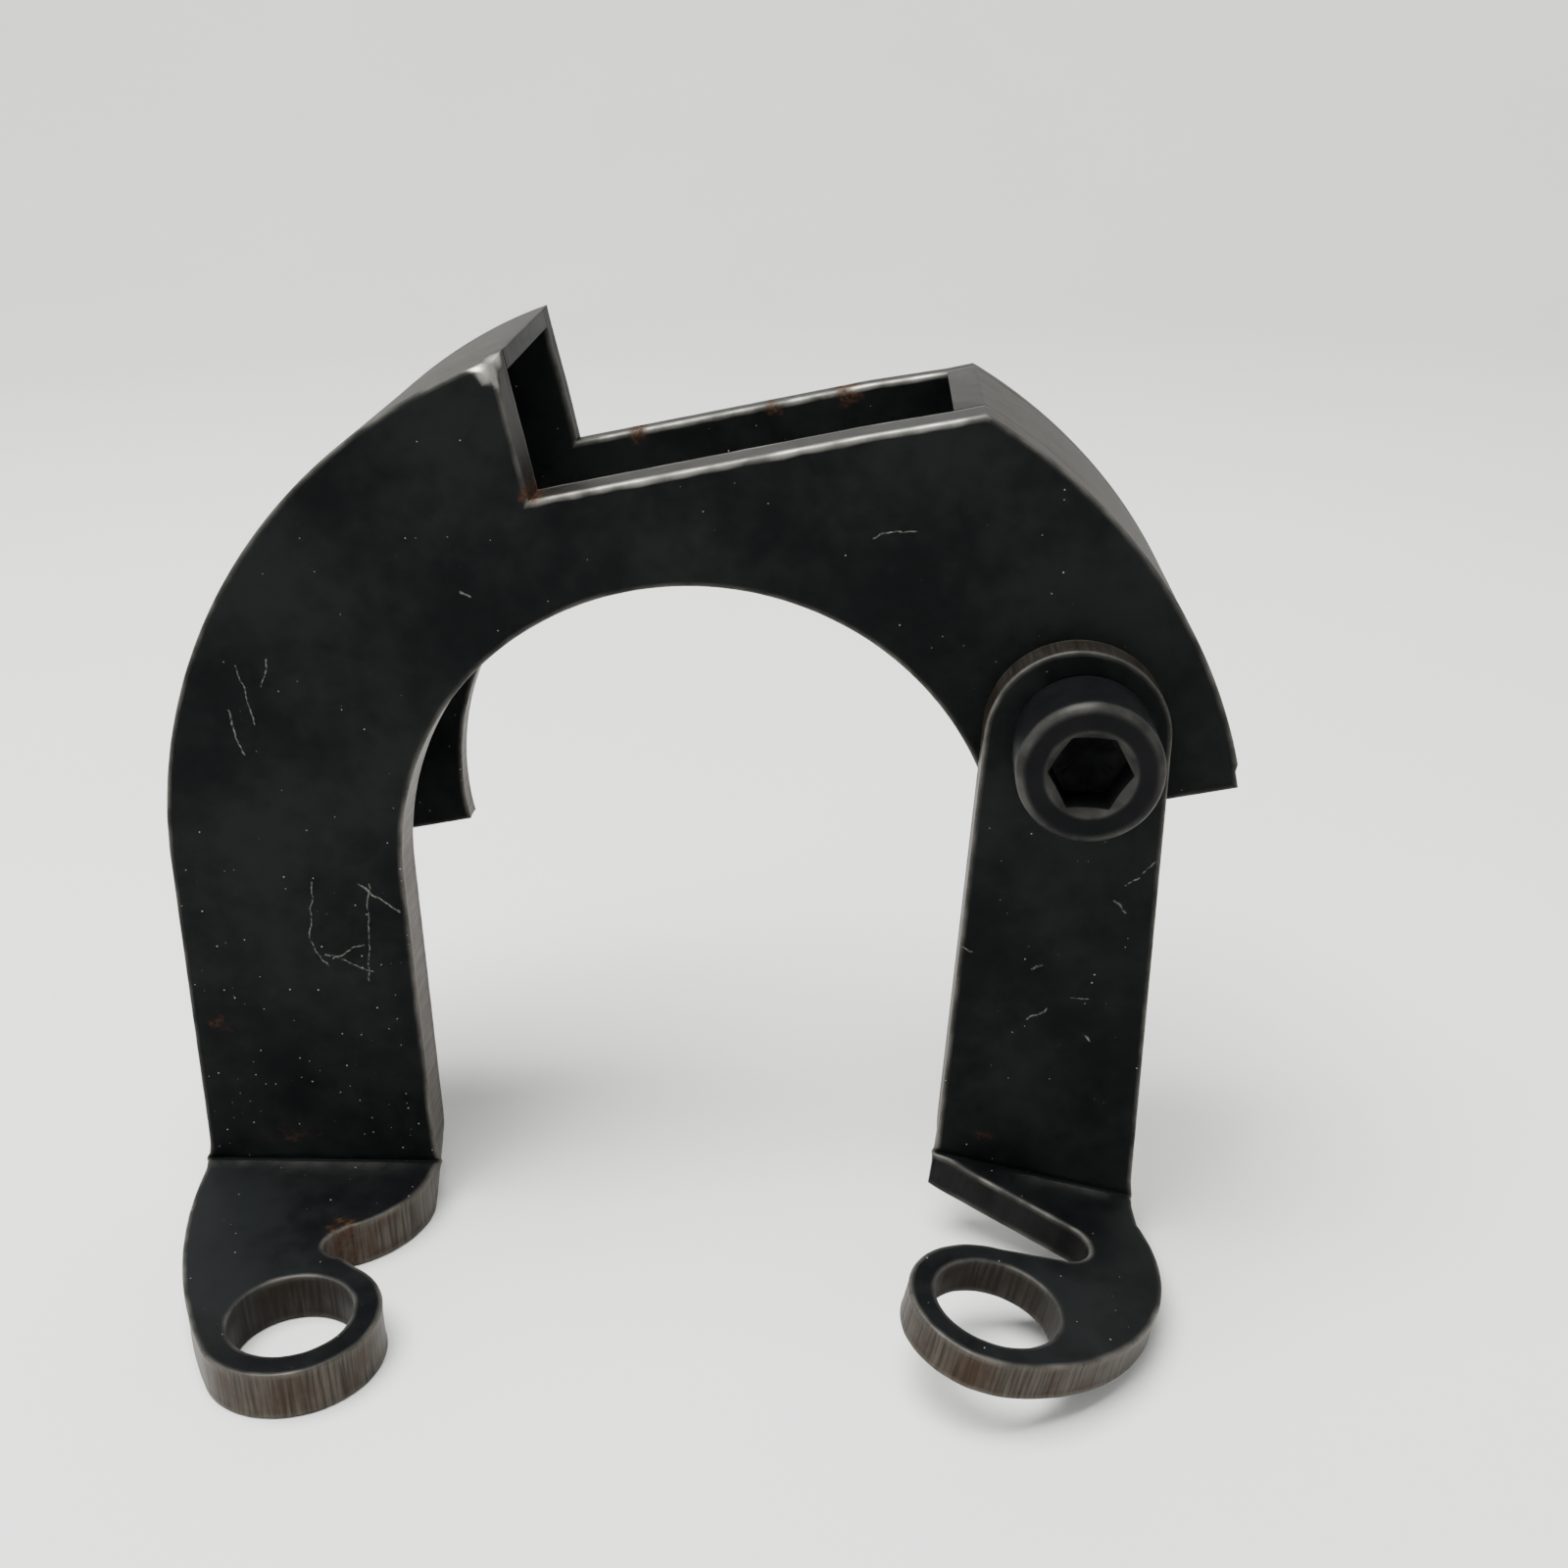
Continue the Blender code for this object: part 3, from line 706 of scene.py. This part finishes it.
PLATE_ROUGHNESS = 0.46
SCREW_ROUGHNESS = 0.38
plate_steel = blackened_steel("black_oxide_plate", PLATE_OXIDE, PLATE_ROUGHNESS, PLATE_SCRATCHES)
leg_steel = blackened_steel("black_oxide_leg_plate", PLATE_OXIDE, PLATE_ROUGHNESS, LEG_SCRATCHES)
rim_steel = blackened_steel("ground_rim_steel", PLATE_OXIDE, PLATE_ROUGHNESS)
screw_steel = blackened_steel("black_oxide_screw", SCREW_OXIDE, SCREW_ROUGHNESS)


# ---------------------------------------------------------------- plates of the bracket

CHIP_LENGTH, CHIP_DEPTH = 2.4, 0.4
SCRATCH_CLEAR = 20.0            # moves a plate's pattern clear of the scratches

def out_of_round(points):
    """The welded ring isn't quite round: left of the pocket its back stands out, and its right lies in."""
    u, w = untilted(points[:, 0], points[:, 2])
    radius, angle = np.hypot(u, w), np.degrees(np.arctan2(w, u))
    depth = points[:, 1] / HOUSING_DEPTH
    left = 1.25 * depth * np.exp(-((angle - 98) / 30) ** 2) * (u < -8)
    right = (0.3 + 0.25 * depth) * np.exp(-((angle - 48) / 30) ** 2) * (u > 0)
    share = 1 + np.clip((radius - 56) / 6, 0, 1) * (left - right) / radius
    return points * np.column_stack((share, np.ones(len(points)), share))


def crease_rub(flat, thickness, foot_top, middle, reach, strength):
    """Where the low lip in front of a fold is rubbed paler, about one stretch of the fold."""
    beyond = foot_top + FOLD_R - flat_bend(thickness) - flat[:, 1]
    across = np.exp(-((flat[:, 0] - middle) / reach) ** 4)
    uneven = 0.75 + 0.5 * wander(flat[:, :2], 1.5)
    return strength * across * uneven * np.exp(-((beyond - 0.9) / 0.6) ** 2) * (flat[:, 2] < 0.1)


def make_front_plate():
    """The front plate, with a chip out of the ring's right end, and not quite flat."""
    outline = front_outline()
    u, w = untilted(*outline.T)
    chipped = (np.hypot(u, w) > RING_OUTER_R - 0.2) & (u > 0) & (w < CHIP_LENGTH)
    outline[chipped] *= 1 - CHIP_DEPTH / RING_OUTER_R
    eye = laid_flat([ARM_EYE], 0.0, FRONT_T, FOOT_TOP)[0]
    loops = [(outline, ring_finish), (round_hole(eye, EYE_R), eye_finish),
             (round_hole(tilted(*PIVOT), HOLE_R), cut_finish)]
    flat, faces, marks = plate_shell(loops, FRONT_T, 5, FOOT_TOP + FOLD_R, flat_bend(FRONT_T))
    points = fold_foot(flat, 0.0, FRONT_T, FOOT_TOP, swell=0.85, lip=0.4)
    points[:, 1] += 0.04 * wander(flat[:, :2], 17.0) * (flat[:, 1] > FOOT_TOP)
    points, rounded = round_pocket_corner(points)
    marks["wear"] = np.maximum.reduce([marks["wear"], np.clip(rounded / 0.4, 0, 1),
                                       crease_rub(flat, FRONT_T, FOOT_TOP, -52.0, 13.0, 0.22)])
    rust = patches(flat, [(-56.8, -2.5, 0.8, 0.95), (-61.2, -20.6, 2.0, 0.45), (-57.5, -37.2, 2.0, 0.4),
                          (-54.0, -36.9, 2.4, 0.4), (-51.0, -36.2, 1.8, 0.4), (-16.8, 46.4, 1.6, 0.6),
                          (-44.0, -58.0, 2.6, 0.5), (*eye, 7.4, 0.4)])
    dust = np.where(flat[:, 1] > FOOT_TOP, np.clip(0.4 - flat[:, 1] / 80, 0.15, 1), 0.25)
    return make_piece("folded_front_plate", out_of_round(points), faces,
                      plate_marks(flat, marks, rust, dust), plate_steel, RING_FRAME)


def make_back_plate():
    """The back plate, rusted along the pocket's floor."""
    flat, faces, marks = plate_shell([(back_outline(), ring_finish)], BACK_T, 6)
    points = np.column_stack((flat[:, 0], HOUSING_DEPTH - BACK_T + flat[:, 2], flat[:, 1]))
    rust = patches(flat, [(-9.2, 46.6, 1.6, 0.6), (8.3, 49.8, 1.8, 0.5), (17.5, 51.4, 2.2, 0.6)])
    flat[:, 2] += SCRATCH_CLEAR
    return make_piece("ring_back_plate", out_of_round(points), faces,
                      plate_marks(flat, marks, rust, np.full(len(flat), 0.3)), plate_steel, RING_FRAME)


def make_leg():
    """The leg, with its top edge stained brown."""
    front = -LEG_GAP - LEG_T
    eye = laid_flat([LEG_EYE], front, LEG_T, LEG_FOOT_TOP)[0]
    loops = [(leg_outline(), leg_finish), (round_hole(eye, EYE_R), eye_finish),
             (round_hole((0, 0), HOLE_R), cut_finish)]
    flat, faces, marks = plate_shell(loops, LEG_T, 7, LEG_FOOT_TOP + FOLD_R, flat_bend(LEG_T))
    points = fold_foot(flat, front, LEG_T, LEG_FOOT_TOP, swell=0.5, lip=0.35)
    points[:, 1] += 0.03 * wander(flat[:, :2], 14.0) * (flat[:, 1] > LEG_FOOT_TOP)
    marks["wear"] = np.maximum(marks["wear"],
                               crease_rub(flat, LEG_T, LEG_FOOT_TOP, 14.0, 5.0, 0.25))
    rust = patches(flat, [(2.0, -52.7, 1.3, 0.45), (4.5, -52.8, 1.0, 0.4)])
    top_edge = np.clip((flat[:, 1] - 3) / 4, 0, 1) * marks["cut"] * 0.45
    return make_piece("folded_leg", points, faces,
                      plate_marks(flat, marks, np.maximum(rust, top_edge), np.full(len(flat), 0.25)),
                      leg_steel, LEG_FRAME)


# ---------------------------------------------------------------- swept pieces

def new_tree(name, sockets):
    """An empty geometry tree with named inputs, its given values, and its result."""
    tree = bpy.data.node_groups.new(name, "GeometryNodeTree")
    tree.interface.new_socket("Geometry", in_out="OUTPUT", socket_type="NodeSocketGeometry")
    for label, kind in sockets.items():
        tree.interface.new_socket(label, in_out="INPUT", socket_type="NodeSocket" + kind)
    return tree, tree.nodes.new("NodeGroupInput").outputs, tree.nodes.new("NodeGroupOutput").inputs


def finished(tree, shape, given, result):
    """The tree, ended by making its shape real and giving it its material."""
    real = put(tree, "GeometryNodeRealizeInstances", {"Geometry": shape})
    real = put(tree, "GeometryNodeSetMaterial", {"Geometry": real, "Material": given["Finish"]})
    tree.links.new(real, result["Geometry"])
    return tree


def bar_tree():
    """A flat bar rolled to an arc: the rim's two lengths and the split spring washer."""
    tree, given, result = new_tree("rolled_bar", {
        "Radius": "Float", "Start": "Float", "Sweep": "Float", "Steps": "Int", "Radial thickness": "Float",
        "Width": "Float", "Width steps": "Int", "Rise": "Float", "Finish": "Material"})
    path = put(tree, "GeometryNodeCurveArc", {
        "Resolution": given["Steps"], "Radius": given["Radius"], "Start Angle": given["Start"],
        "Sweep Angle": given["Sweep"]})
    share = put(tree, "GeometryNodeSplineParameter", (), "Factor")
    climb = put(tree, "ShaderNodeMath", {0: share, 1: given["Rise"]}, operation="MULTIPLY")
    lift = put(tree, "ShaderNodeCombineXYZ", {"Z": climb})
    path = put(tree, "GeometryNodeSetPosition", {"Geometry": path, "Offset": lift})
    path = put(tree, "GeometryNodeSetCurveNormal", {"Curve": path}, mode="Z_UP")
    section = put(tree, "GeometryNodeCurvePrimitiveQuadrilateral", {
        "Width": given["Radial thickness"], "Height": given["Width"]})
    section = put(tree, "GeometryNodeSubdivideCurve", {"Curve": section, "Cuts": given["Width steps"]})
    bar = put(tree, "GeometryNodeCurveToMesh", {"Curve": path, "Profile Curve": section,
                                                "Fill Caps": True})
    return finished(tree, bar, given, result)


def thread_tree():
    """A screw thread: one ridge wound along a helix."""
    tree, given, result = new_tree("wound_thread", {
        "Root radius": "Float", "Pitch": "Float", "Turns": "Float", "Steps a turn": "Int",
        "Depth": "Float", "Finish": "Material"})
    rise = put(tree, "ShaderNodeMath", {0: given["Pitch"], 1: given["Turns"]}, operation="MULTIPLY")
    path = put(tree, "GeometryNodeCurveSpiral", {
        "Resolution": given["Steps a turn"], "Rotations": given["Turns"],
        "Start Radius": given["Root radius"], "End Radius": given["Root radius"], "Height": rise})
    path = put(tree, "GeometryNodeSetCurveNormal", {"Curve": path}, mode="Z_UP")
    foot = put(tree, "ShaderNodeMath", {0: given["Pitch"], 1: 0.86}, operation="MULTIPLY")
    crest = put(tree, "ShaderNodeMath", {0: given["Pitch"], 1: 0.14}, operation="MULTIPLY")
    ridge = put(tree, "GeometryNodeCurvePrimitiveQuadrilateral", {
        "Bottom Width": foot, "Top Width": crest, "Offset": 0.0, "Height": given["Depth"]},
        mode="TRAPEZOID")
    ridge = put(tree, "GeometryNodeTransform", {"Geometry": ridge,
                                                "Rotation": (0.0, 0.0, math.radians(90))})
    wound = put(tree, "GeometryNodeCurveToMesh", {"Curve": path, "Profile Curve": ridge,
                                                  "Fill Caps": True})
    return finished(tree, wound, given, result)


def swept(tree, values):
    """The plain mesh that a tree makes from the given values."""
    holder = add_object("holder", bpy.data.meshes.new("holder"))
    modifier = holder.modifiers.new("sweep", "NODES")
    modifier.node_group = tree
    for socket in tree.interface.items_tree:
        if socket.in_out == "INPUT":
            modifier[socket.identifier] = values[socket.name]
    depsgraph = bpy.context.evaluated_depsgraph_get()
    made = bpy.data.meshes.new_from_object(holder.evaluated_get(depsgraph))
    bpy.data.objects.remove(holder)
    return made


def trimmed(mesh, cuts, edge_r):
    """The mesh cut off square by each plane of (point, outward direction), with its edges eased."""
    work = bmesh.new()
    work.from_mesh(mesh)
    bmesh.ops.remove_doubles(work, verts=work.verts, dist=1e-4)
    for point, outward in cuts:
        bmesh.ops.bisect_plane(work, geom=work.verts[:] + work.edges[:] + work.faces[:], dist=1e-5,
                               plane_co=point, plane_no=outward, clear_outer=True)
        bmesh.ops.holes_fill(work, edges=[e for e in work.edges if e.is_boundary], sides=0)
    bmesh.ops.recalc_face_normals(work, faces=work.faces)
    sharp = [e for e in work.edges if e.calc_face_angle(0) > math.radians(40)]
    bmesh.ops.bevel(work, geom=sharp, offset=edge_r, segments=3, profile=0.6, affect="EDGES",
                    clamp_overlap=True)
    bmesh.ops.recalc_face_normals(work, faces=work.faces)
    points = np.array([v.co for v in work.verts])
    faces = [tuple(v.index for v in f.verts) for f in work.faces]
    work.free()
    return points, faces


RIM_STEP = 0.75                 # degrees between the rows of a rolled rim
RIM_ROWS = 15                   # points across its width


def make_rim(name, start, end, cuts, tree):
    """One length of the rim, rolled from bar and trimmed where the pocket cuts it."""
    width = HOUSING_DEPTH - BACK_T - FRONT_T - 2 * JOINT_LINE
    mesh = swept(tree, {"Radius": RING_OUTER_R - RIM_T / 2, "Start": math.radians(start),
                        "Sweep": math.radians(end - start), "Steps": int((end - start) / RIM_STEP),
                        "Radial thickness": RIM_T, "Width": width, "Width steps": RIM_ROWS, "Rise": 0.0,
                        "Finish": rim_steel})
    points, faces = trimmed(mesh, cuts, 0.22)
    u, w, y = points[:, 0], points[:, 1], FRONT_T + JOINT_LINE + width / 2 - points[:, 2]
    radius, angle = np.hypot(u, w), np.arctan2(w, u)
    outside = np.clip((radius - RING_OUTER_R + 0.5) / 0.3, 0, 1)
    cut_end = (w > POCKET_FLOOR - 0.3) & (u > POCKET_SIDE - 0.3)
    radius = np.where(outside > 0.9, radius - 0.03 * (1 + wander(np.column_stack((u, y, w)), 6.0)), radius)
    x, z = tilted(radius * np.cos(angle), radius * np.sin(angle))
    joint = np.abs(np.abs(y - HOUSING_DEPTH / 2) - width / 2) < 0.5
    marks = {"flat": np.column_stack((angle * RING_OUTER_R, y, radius)),
             "cut_line": np.column_stack((angle * RING_OUTER_R, y, 0 * y)),
             "cut": 0 * y, "ground": np.where(cut_end, 0.55, outside), "wear": 0 * y,
             "rust": np.where(joint & (outside > 0.5), 0.25, 0.1), "dust": 0 * y + 0.2}
    return make_piece(name, out_of_round(np.column_stack((x, y, z))), faces, marks, rim_steel,
                      RING_FRAME, sharp=20)


def make_washer(tree):
    """The split spring washer between the nut and the front plate, its split set at 60 degrees."""
    mean_r = (WASHER_R + HOLE_R) / 2
    mesh = swept(tree, {"Radius": mean_r, "Start": WASHER_SPLIT / 2, "Sweep": math.tau - WASHER_SPLIT,
                        "Steps": 90, "Radial thickness": WASHER_R - HOLE_R, "Width": WASHER_T - 0.35,
                        "Width steps": 2, "Rise": 0.3, "Finish": screw_steel})
    points, faces = trimmed(mesh, [], 0.18)
    points[:, 2] -= FRONT_T + CONTACT + WASHER_T / 2 + 0.15
    turn = math.radians(60)
    x = points[:, 0] * math.cos(turn) - points[:, 1] * math.sin(turn)
    y = points[:, 0] * math.sin(turn) + points[:, 1] * math.cos(turn)
    points = np.column_stack((x, y, points[:, 2]))
    return make_piece("split_spring_washer", points, faces, plain_marks(points, 0.0), screw_steel,
                      SCREW_FRAME, sharp=25)


# ---------------------------------------------------------------- screw and nut

ROUND = 144
TURNS = np.arange(ROUND) / ROUND * math.tau


def plain_marks(points, wear):
    """The marks of a piece with no cut walls: its own wear, a trace of rust and no dust."""
    blank = np.zeros(len(points))
    return {"flat": points, "cut_line": points, "cut": blank, "ground": blank, "wear": blank + wear,
            "rust": blank + 0.12, "dust": blank}


def hexagon(flats, turn=0.0):
    """Radius of a hexagon, by its width across flats, at each turn; corners lie to left and right."""
    return flats / 2 / np.cos((TURNS - turn) % (math.pi / 3) - math.pi / 6)


def turned_shell(rings, closed=False):
    """A shell through rings of (radius, height, wear).  An open one starts and ends in a point."""
    points, faces, wear = [], [], []
    for radius, height, worn in rings:
        r, h = np.broadcast_to(radius, ROUND), np.broadcast_to(height, ROUND)
        points.append(np.column_stack((r * np.cos(TURNS), r * np.sin(TURNS), h)))
        wear += [worn] * ROUND
    pairs = [(i, (i + 1) % len(rings)) for i in range(len(rings) - (0 if closed else 1))]
    for lower, upper in pairs:
        for i in range(ROUND):
            j = (i + 1) % ROUND
            faces.append((lower * ROUND + i, lower * ROUND + j, upper * ROUND + j, upper * ROUND + i))
    points = np.concatenate(points)
    if not closed:
        ends = [points[:ROUND].mean(axis=0), points[-ROUND:].mean(axis=0)]
        first, last = len(points), len(points) + 1
        points = np.concatenate((points, ends))
        wear += [0.0, 0.0]
        top = (len(rings) - 1) * ROUND
        for i in range(ROUND):
            j = (i + 1) % ROUND
            faces.append((first, j, i))
            faces.append((last, top + i, top + j))
    return points, faces, np.array(wear)


def make_screw(tree):
    """The cap screw: head and shank turned, hexagon socket sunk in, thread wound round the shank."""
    seat = LEG_GAP + LEG_T + CONTACT
    tip = seat - SCREW_LENGTH
    top = seat + HEAD_HEIGHT
    socket = hexagon(SOCKET_FLATS, SOCKET_TURN)
    mouth = 4.95
    sunk = np.maximum(mouth - socket, 0) * 0.7
    rings = [(2.9, tip, 0.3), (3.1, tip + 0.05, 0.3), (THREAD_ROOT_R - 0.1, tip + 0.9, 0.2),
             (THREAD_ROOT_R, tip + 1.1, 0), (THREAD_ROOT_R, seat - 1.2, 0), (4.6, seat - 0.35, 0),
             (5.0, seat - 0.08, 0), (5.4, seat, 0), (7.3, seat, 0), (7.45, seat + 0.02, 0),
             (7.85, seat + 0.2, 0.6), (HEAD_R, seat + 0.55, 0), (HEAD_R, seat + 0.9, 0)]
    rings += [(HEAD_R, seat + height, 0) for height in np.linspace(1.6, 8.4, 9)]
    rings += [(HEAD_R, top - 0.95, 0.2), (HEAD_R - 0.03, top - 0.75, 0.8), (HEAD_R - 0.16, top - 0.5, 0.9),
              (HEAD_R - 0.36, top - 0.25, 0.9), (HEAD_R - 0.62, top - 0.07, 0.8), (HEAD_R - 0.9, top, 0.3),
              (HEAD_R - 1.2, top, 0), (6.2, top, 0), (5.3, top, 0), (mouth + 0.1, top, 0.3),
              (mouth, top - 0.03, 0.7), (np.maximum(mouth - 0.12, socket), top - 0.15, 0.8),
              (socket, top - 0.17 - sunk, 0.7), (socket, top - 0.32 - sunk, 0.1), (socket, top - 2.2, 0),
              (socket, top - SOCKET_DEPTH + 0.2, 0), (socket * 0.97, top - SOCKET_DEPTH, 0),
              (socket * 0.8, top - SOCKET_DEPTH - 0.1, 0), (3.2, top - SOCKET_DEPTH - 0.15, 0),
              (1.5, top - SOCKET_DEPTH - 1.0, 0), (0.2, top - SOCKET_DEPTH - 1.7, 0)]
    points, faces, wear = turned_shell(rings)
    ridge = swept(tree, {"Root radius": THREAD_ROOT_R + 0.35, "Pitch": THREAD_PITCH,
                         "Turns": (SCREW_LENGTH - 2.6) / THREAD_PITCH, "Steps a turn": 36, "Depth": 0.9,
                         "Finish": screw_steel})
    ridge_points = np.array([v.co for v in ridge.vertices])
    ridge_points[:, 2] += tip + 0.9
    first = len(points)
    faces += [tuple(first + i for i in face.vertices) for face in ridge.polygons]
    points = np.concatenate((points, ridge_points))
    marks = plain_marks(points, 0.0)
    marks["wear"] = 0.12 * np.concatenate((wear, np.full(len(ridge_points), 0.2)))
    radius = np.hypot(points[:, 0], points[:, 1])
    in_socket = (radius < 4.7) & (points[:, 2] > top - SOCKET_DEPTH - 0.3) & (points[:, 2] < top - 0.8)
    streak = np.exp(-((points[:, 0] + 0.9) / 0.5) ** 2) + np.exp(-((points[:, 0] - 0.8) / 0.5) ** 2)
    marks["rust"] = np.where(in_socket & (points[:, 1] > -1), 0.5 * streak, 0.1)
    return make_piece("socket_cap_screw", points, faces, marks, screw_steel, SCREW_FRAME, sharp=40)


def make_nut():
    """A hexagon nut with its corners turned off at 30 degrees on both faces."""
    front = FRONT_T + CONTACT + WASHER_T + CONTACT
    outer = hexagon(NUT_FLATS)
    flat_r = NUT_FLATS / 2 - 0.25
    drop = np.maximum(outer - flat_r, 0) * math.tan(math.radians(30))
    bore = HOLE_R
    rings = []
    for side, start in ((1, -front), (-1, -front - NUT_HEIGHT)):
        half = [(bore, start - side * 0.7, 0), (bore + 0.35, start - side * 0.1, 0.5),
                (bore + 0.6, start, 0.2), (flat_r - 0.3, start, 0), (flat_r, start - side * 0.02, 0.3),
                (outer - 0.12, start - side * (drop - 0.05), 0.5), (outer, start - side * (drop + 0.1), 0.6),
                (outer, start - side * (drop + 0.5), 0)]
        rings += half if side == 1 else half[::-1]
    points, faces, wear = turned_shell(rings[::-1], closed=True)
    marks = plain_marks(points, 0.0)
    marks["wear"] = 0.15 * wear
    return make_piece("hexagon_nut", points, faces, marks, screw_steel, SCREW_FRAME, sharp=40)


# ---------------------------------------------------------------- put together

rolled_bar = bar_tree()
wound_thread = thread_tree()
pocket_floor_cut = (Vector((0, POCKET_FLOOR, 0)), Vector((0, 1, 0)))
pocket_side_cut = (Vector((POCKET_SIDE, 0, 0)), Vector((1, 0, 0)))
dressed = [
    (make_front_plate(), "front_plate", "housing", "plate_steel"),
    (make_back_plate(), "back_plate", "housing", "plate_steel"),
    (make_rim("rolled_left_rim", 94, 180, [pocket_side_cut], rolled_bar), "left_rim", "housing",
     "rim_steel"),
    (make_rim("rolled_right_rim", 0, 54, [pocket_floor_cut], rolled_bar), "right_rim", "housing",
     "rim_steel"),
    (make_leg(), "pivot_leg", "leg", "leg_steel"),
    (make_screw(wound_thread), "pivot_screw", "screw", "screw_steel"),
    (make_nut(), "pivot_nut", "housing", "nut_steel"),
    (make_washer(rolled_bar), "spring_washer", "housing", "washer_steel"),
]
for piece, node, body, slot in dressed:
    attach(piece, body)
    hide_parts(node)


# ---------------------------------------------------------------- floor, light and camera

LIGHT_AIM = Vector((0.0, 0.0, 0.05))
ROOM_LIGHT = 0.15
CAMERA_TURN = [math.radians(angle) for angle in (-3.88, 22.01, 1.45)]
CAMERA_PLACE = Vector((23.84, -196.07, 91.40))      # mm from the half ring's centre
CAMERA_LENS = 41.78

def make_floor():
    """A pale round floor that curves up far from the bracket, so it looks the same from every side."""
    profile = [(0.02, 0.0), (0.3, 0.0), (0.8, 0.0)]
    profile += [(0.8 + 0.4 * math.sin(a), 0.4 - 0.4 * math.cos(a)) for a in np.radians(range(10, 91, 10))]
    profile.append((1.2, 1.0))
    points, faces, _ = turned_shell([(r, h, 0) for r, h in profile])
    lid = len(points) - 1
    mesh = bpy.data.meshes.new("pale_floor")
    mesh.from_pydata(points.tolist(), [], [face for face in faces if lid not in face])
    mesh.flip_normals()
    mesh.shade_smooth()
    paint = bpy.data.materials.new("matt_white_card")
    paint.use_nodes = True
    tree = paint.node_tree
    shader = tree.nodes["Principled BSDF"]
    place = put(tree, "ShaderNodeTexCoord", (), "Object")
    tone = put(tree, "ShaderNodeTexNoise", {"Vector": place, "Scale": 9.0, "Detail": 2.0})
    colour = put(tree, "ShaderNodeMix", {0: tone, 6: linear("#e4e4e2"), 7: linear("#eaeae8")}, 2,
                 data_type="RGBA")
    tree.links.new(colour, shader.inputs["Base Color"])
    shader.inputs["Roughness"].default_value = 0.8
    mesh.materials.append(paint)
    add_object("pale_floor", mesh)


def soft_light(name, place, size, power):
    """A square white panel of size metres, turned to the middle of the bracket."""
    light = bpy.data.lights.new(name, "AREA")
    light.shape = "SQUARE"
    light.size = size
    light.energy = power
    lamp = add_object(name, light)
    lamp.location = place
    lamp.rotation_euler = (LIGHT_AIM - Vector(place)).to_track_quat("-Z", "Y").to_euler()


def make_camera():
    """A camera 0.2 m in front of the bracket and above its crown, looking down at it."""
    yaw, pitch, roll = CAMERA_TURN
    ahead = Vector((math.sin(yaw) * math.cos(pitch), math.cos(yaw) * math.cos(pitch), -math.sin(pitch)))
    right = Vector((math.cos(yaw), -math.sin(yaw), 0.0))
    down = ahead.cross(right)
    turned_right = math.cos(roll) * right + math.sin(roll) * down
    turned_down = math.cos(roll) * down - math.sin(roll) * right
    camera = bpy.data.cameras.new("camera")
    camera.sensor_width = 36.0
    camera.lens = CAMERA_LENS
    camera.clip_start = 0.01
    camera.dof.use_dof = False
    placing = Matrix((turned_right, -turned_down, -ahead)).transposed().to_4x4()
    placing.translation = ring_centre + CAMERA_PLACE * MM
    holder = add_object("camera", camera)
    holder.matrix_world = placing
    bpy.context.scene.camera = holder


make_floor()
soft_light("ceiling_light", (-0.2, -0.1, 0.95), 0.7, 27)
soft_light("left_fill", (-0.8, -0.6, 0.45), 0.5, 1.8)
soft_light("back_fill", (-0.15, 0.9, 0.75), 0.9, 2.5)
world = bpy.data.worlds.new("room")
world.use_nodes = True
world.node_tree.nodes["Background"].inputs["Color"].default_value = linear("#e6e8ea")
world.node_tree.nodes["Background"].inputs["Strength"].default_value = ROOM_LIGHT
bpy.context.scene.world = world
make_camera()
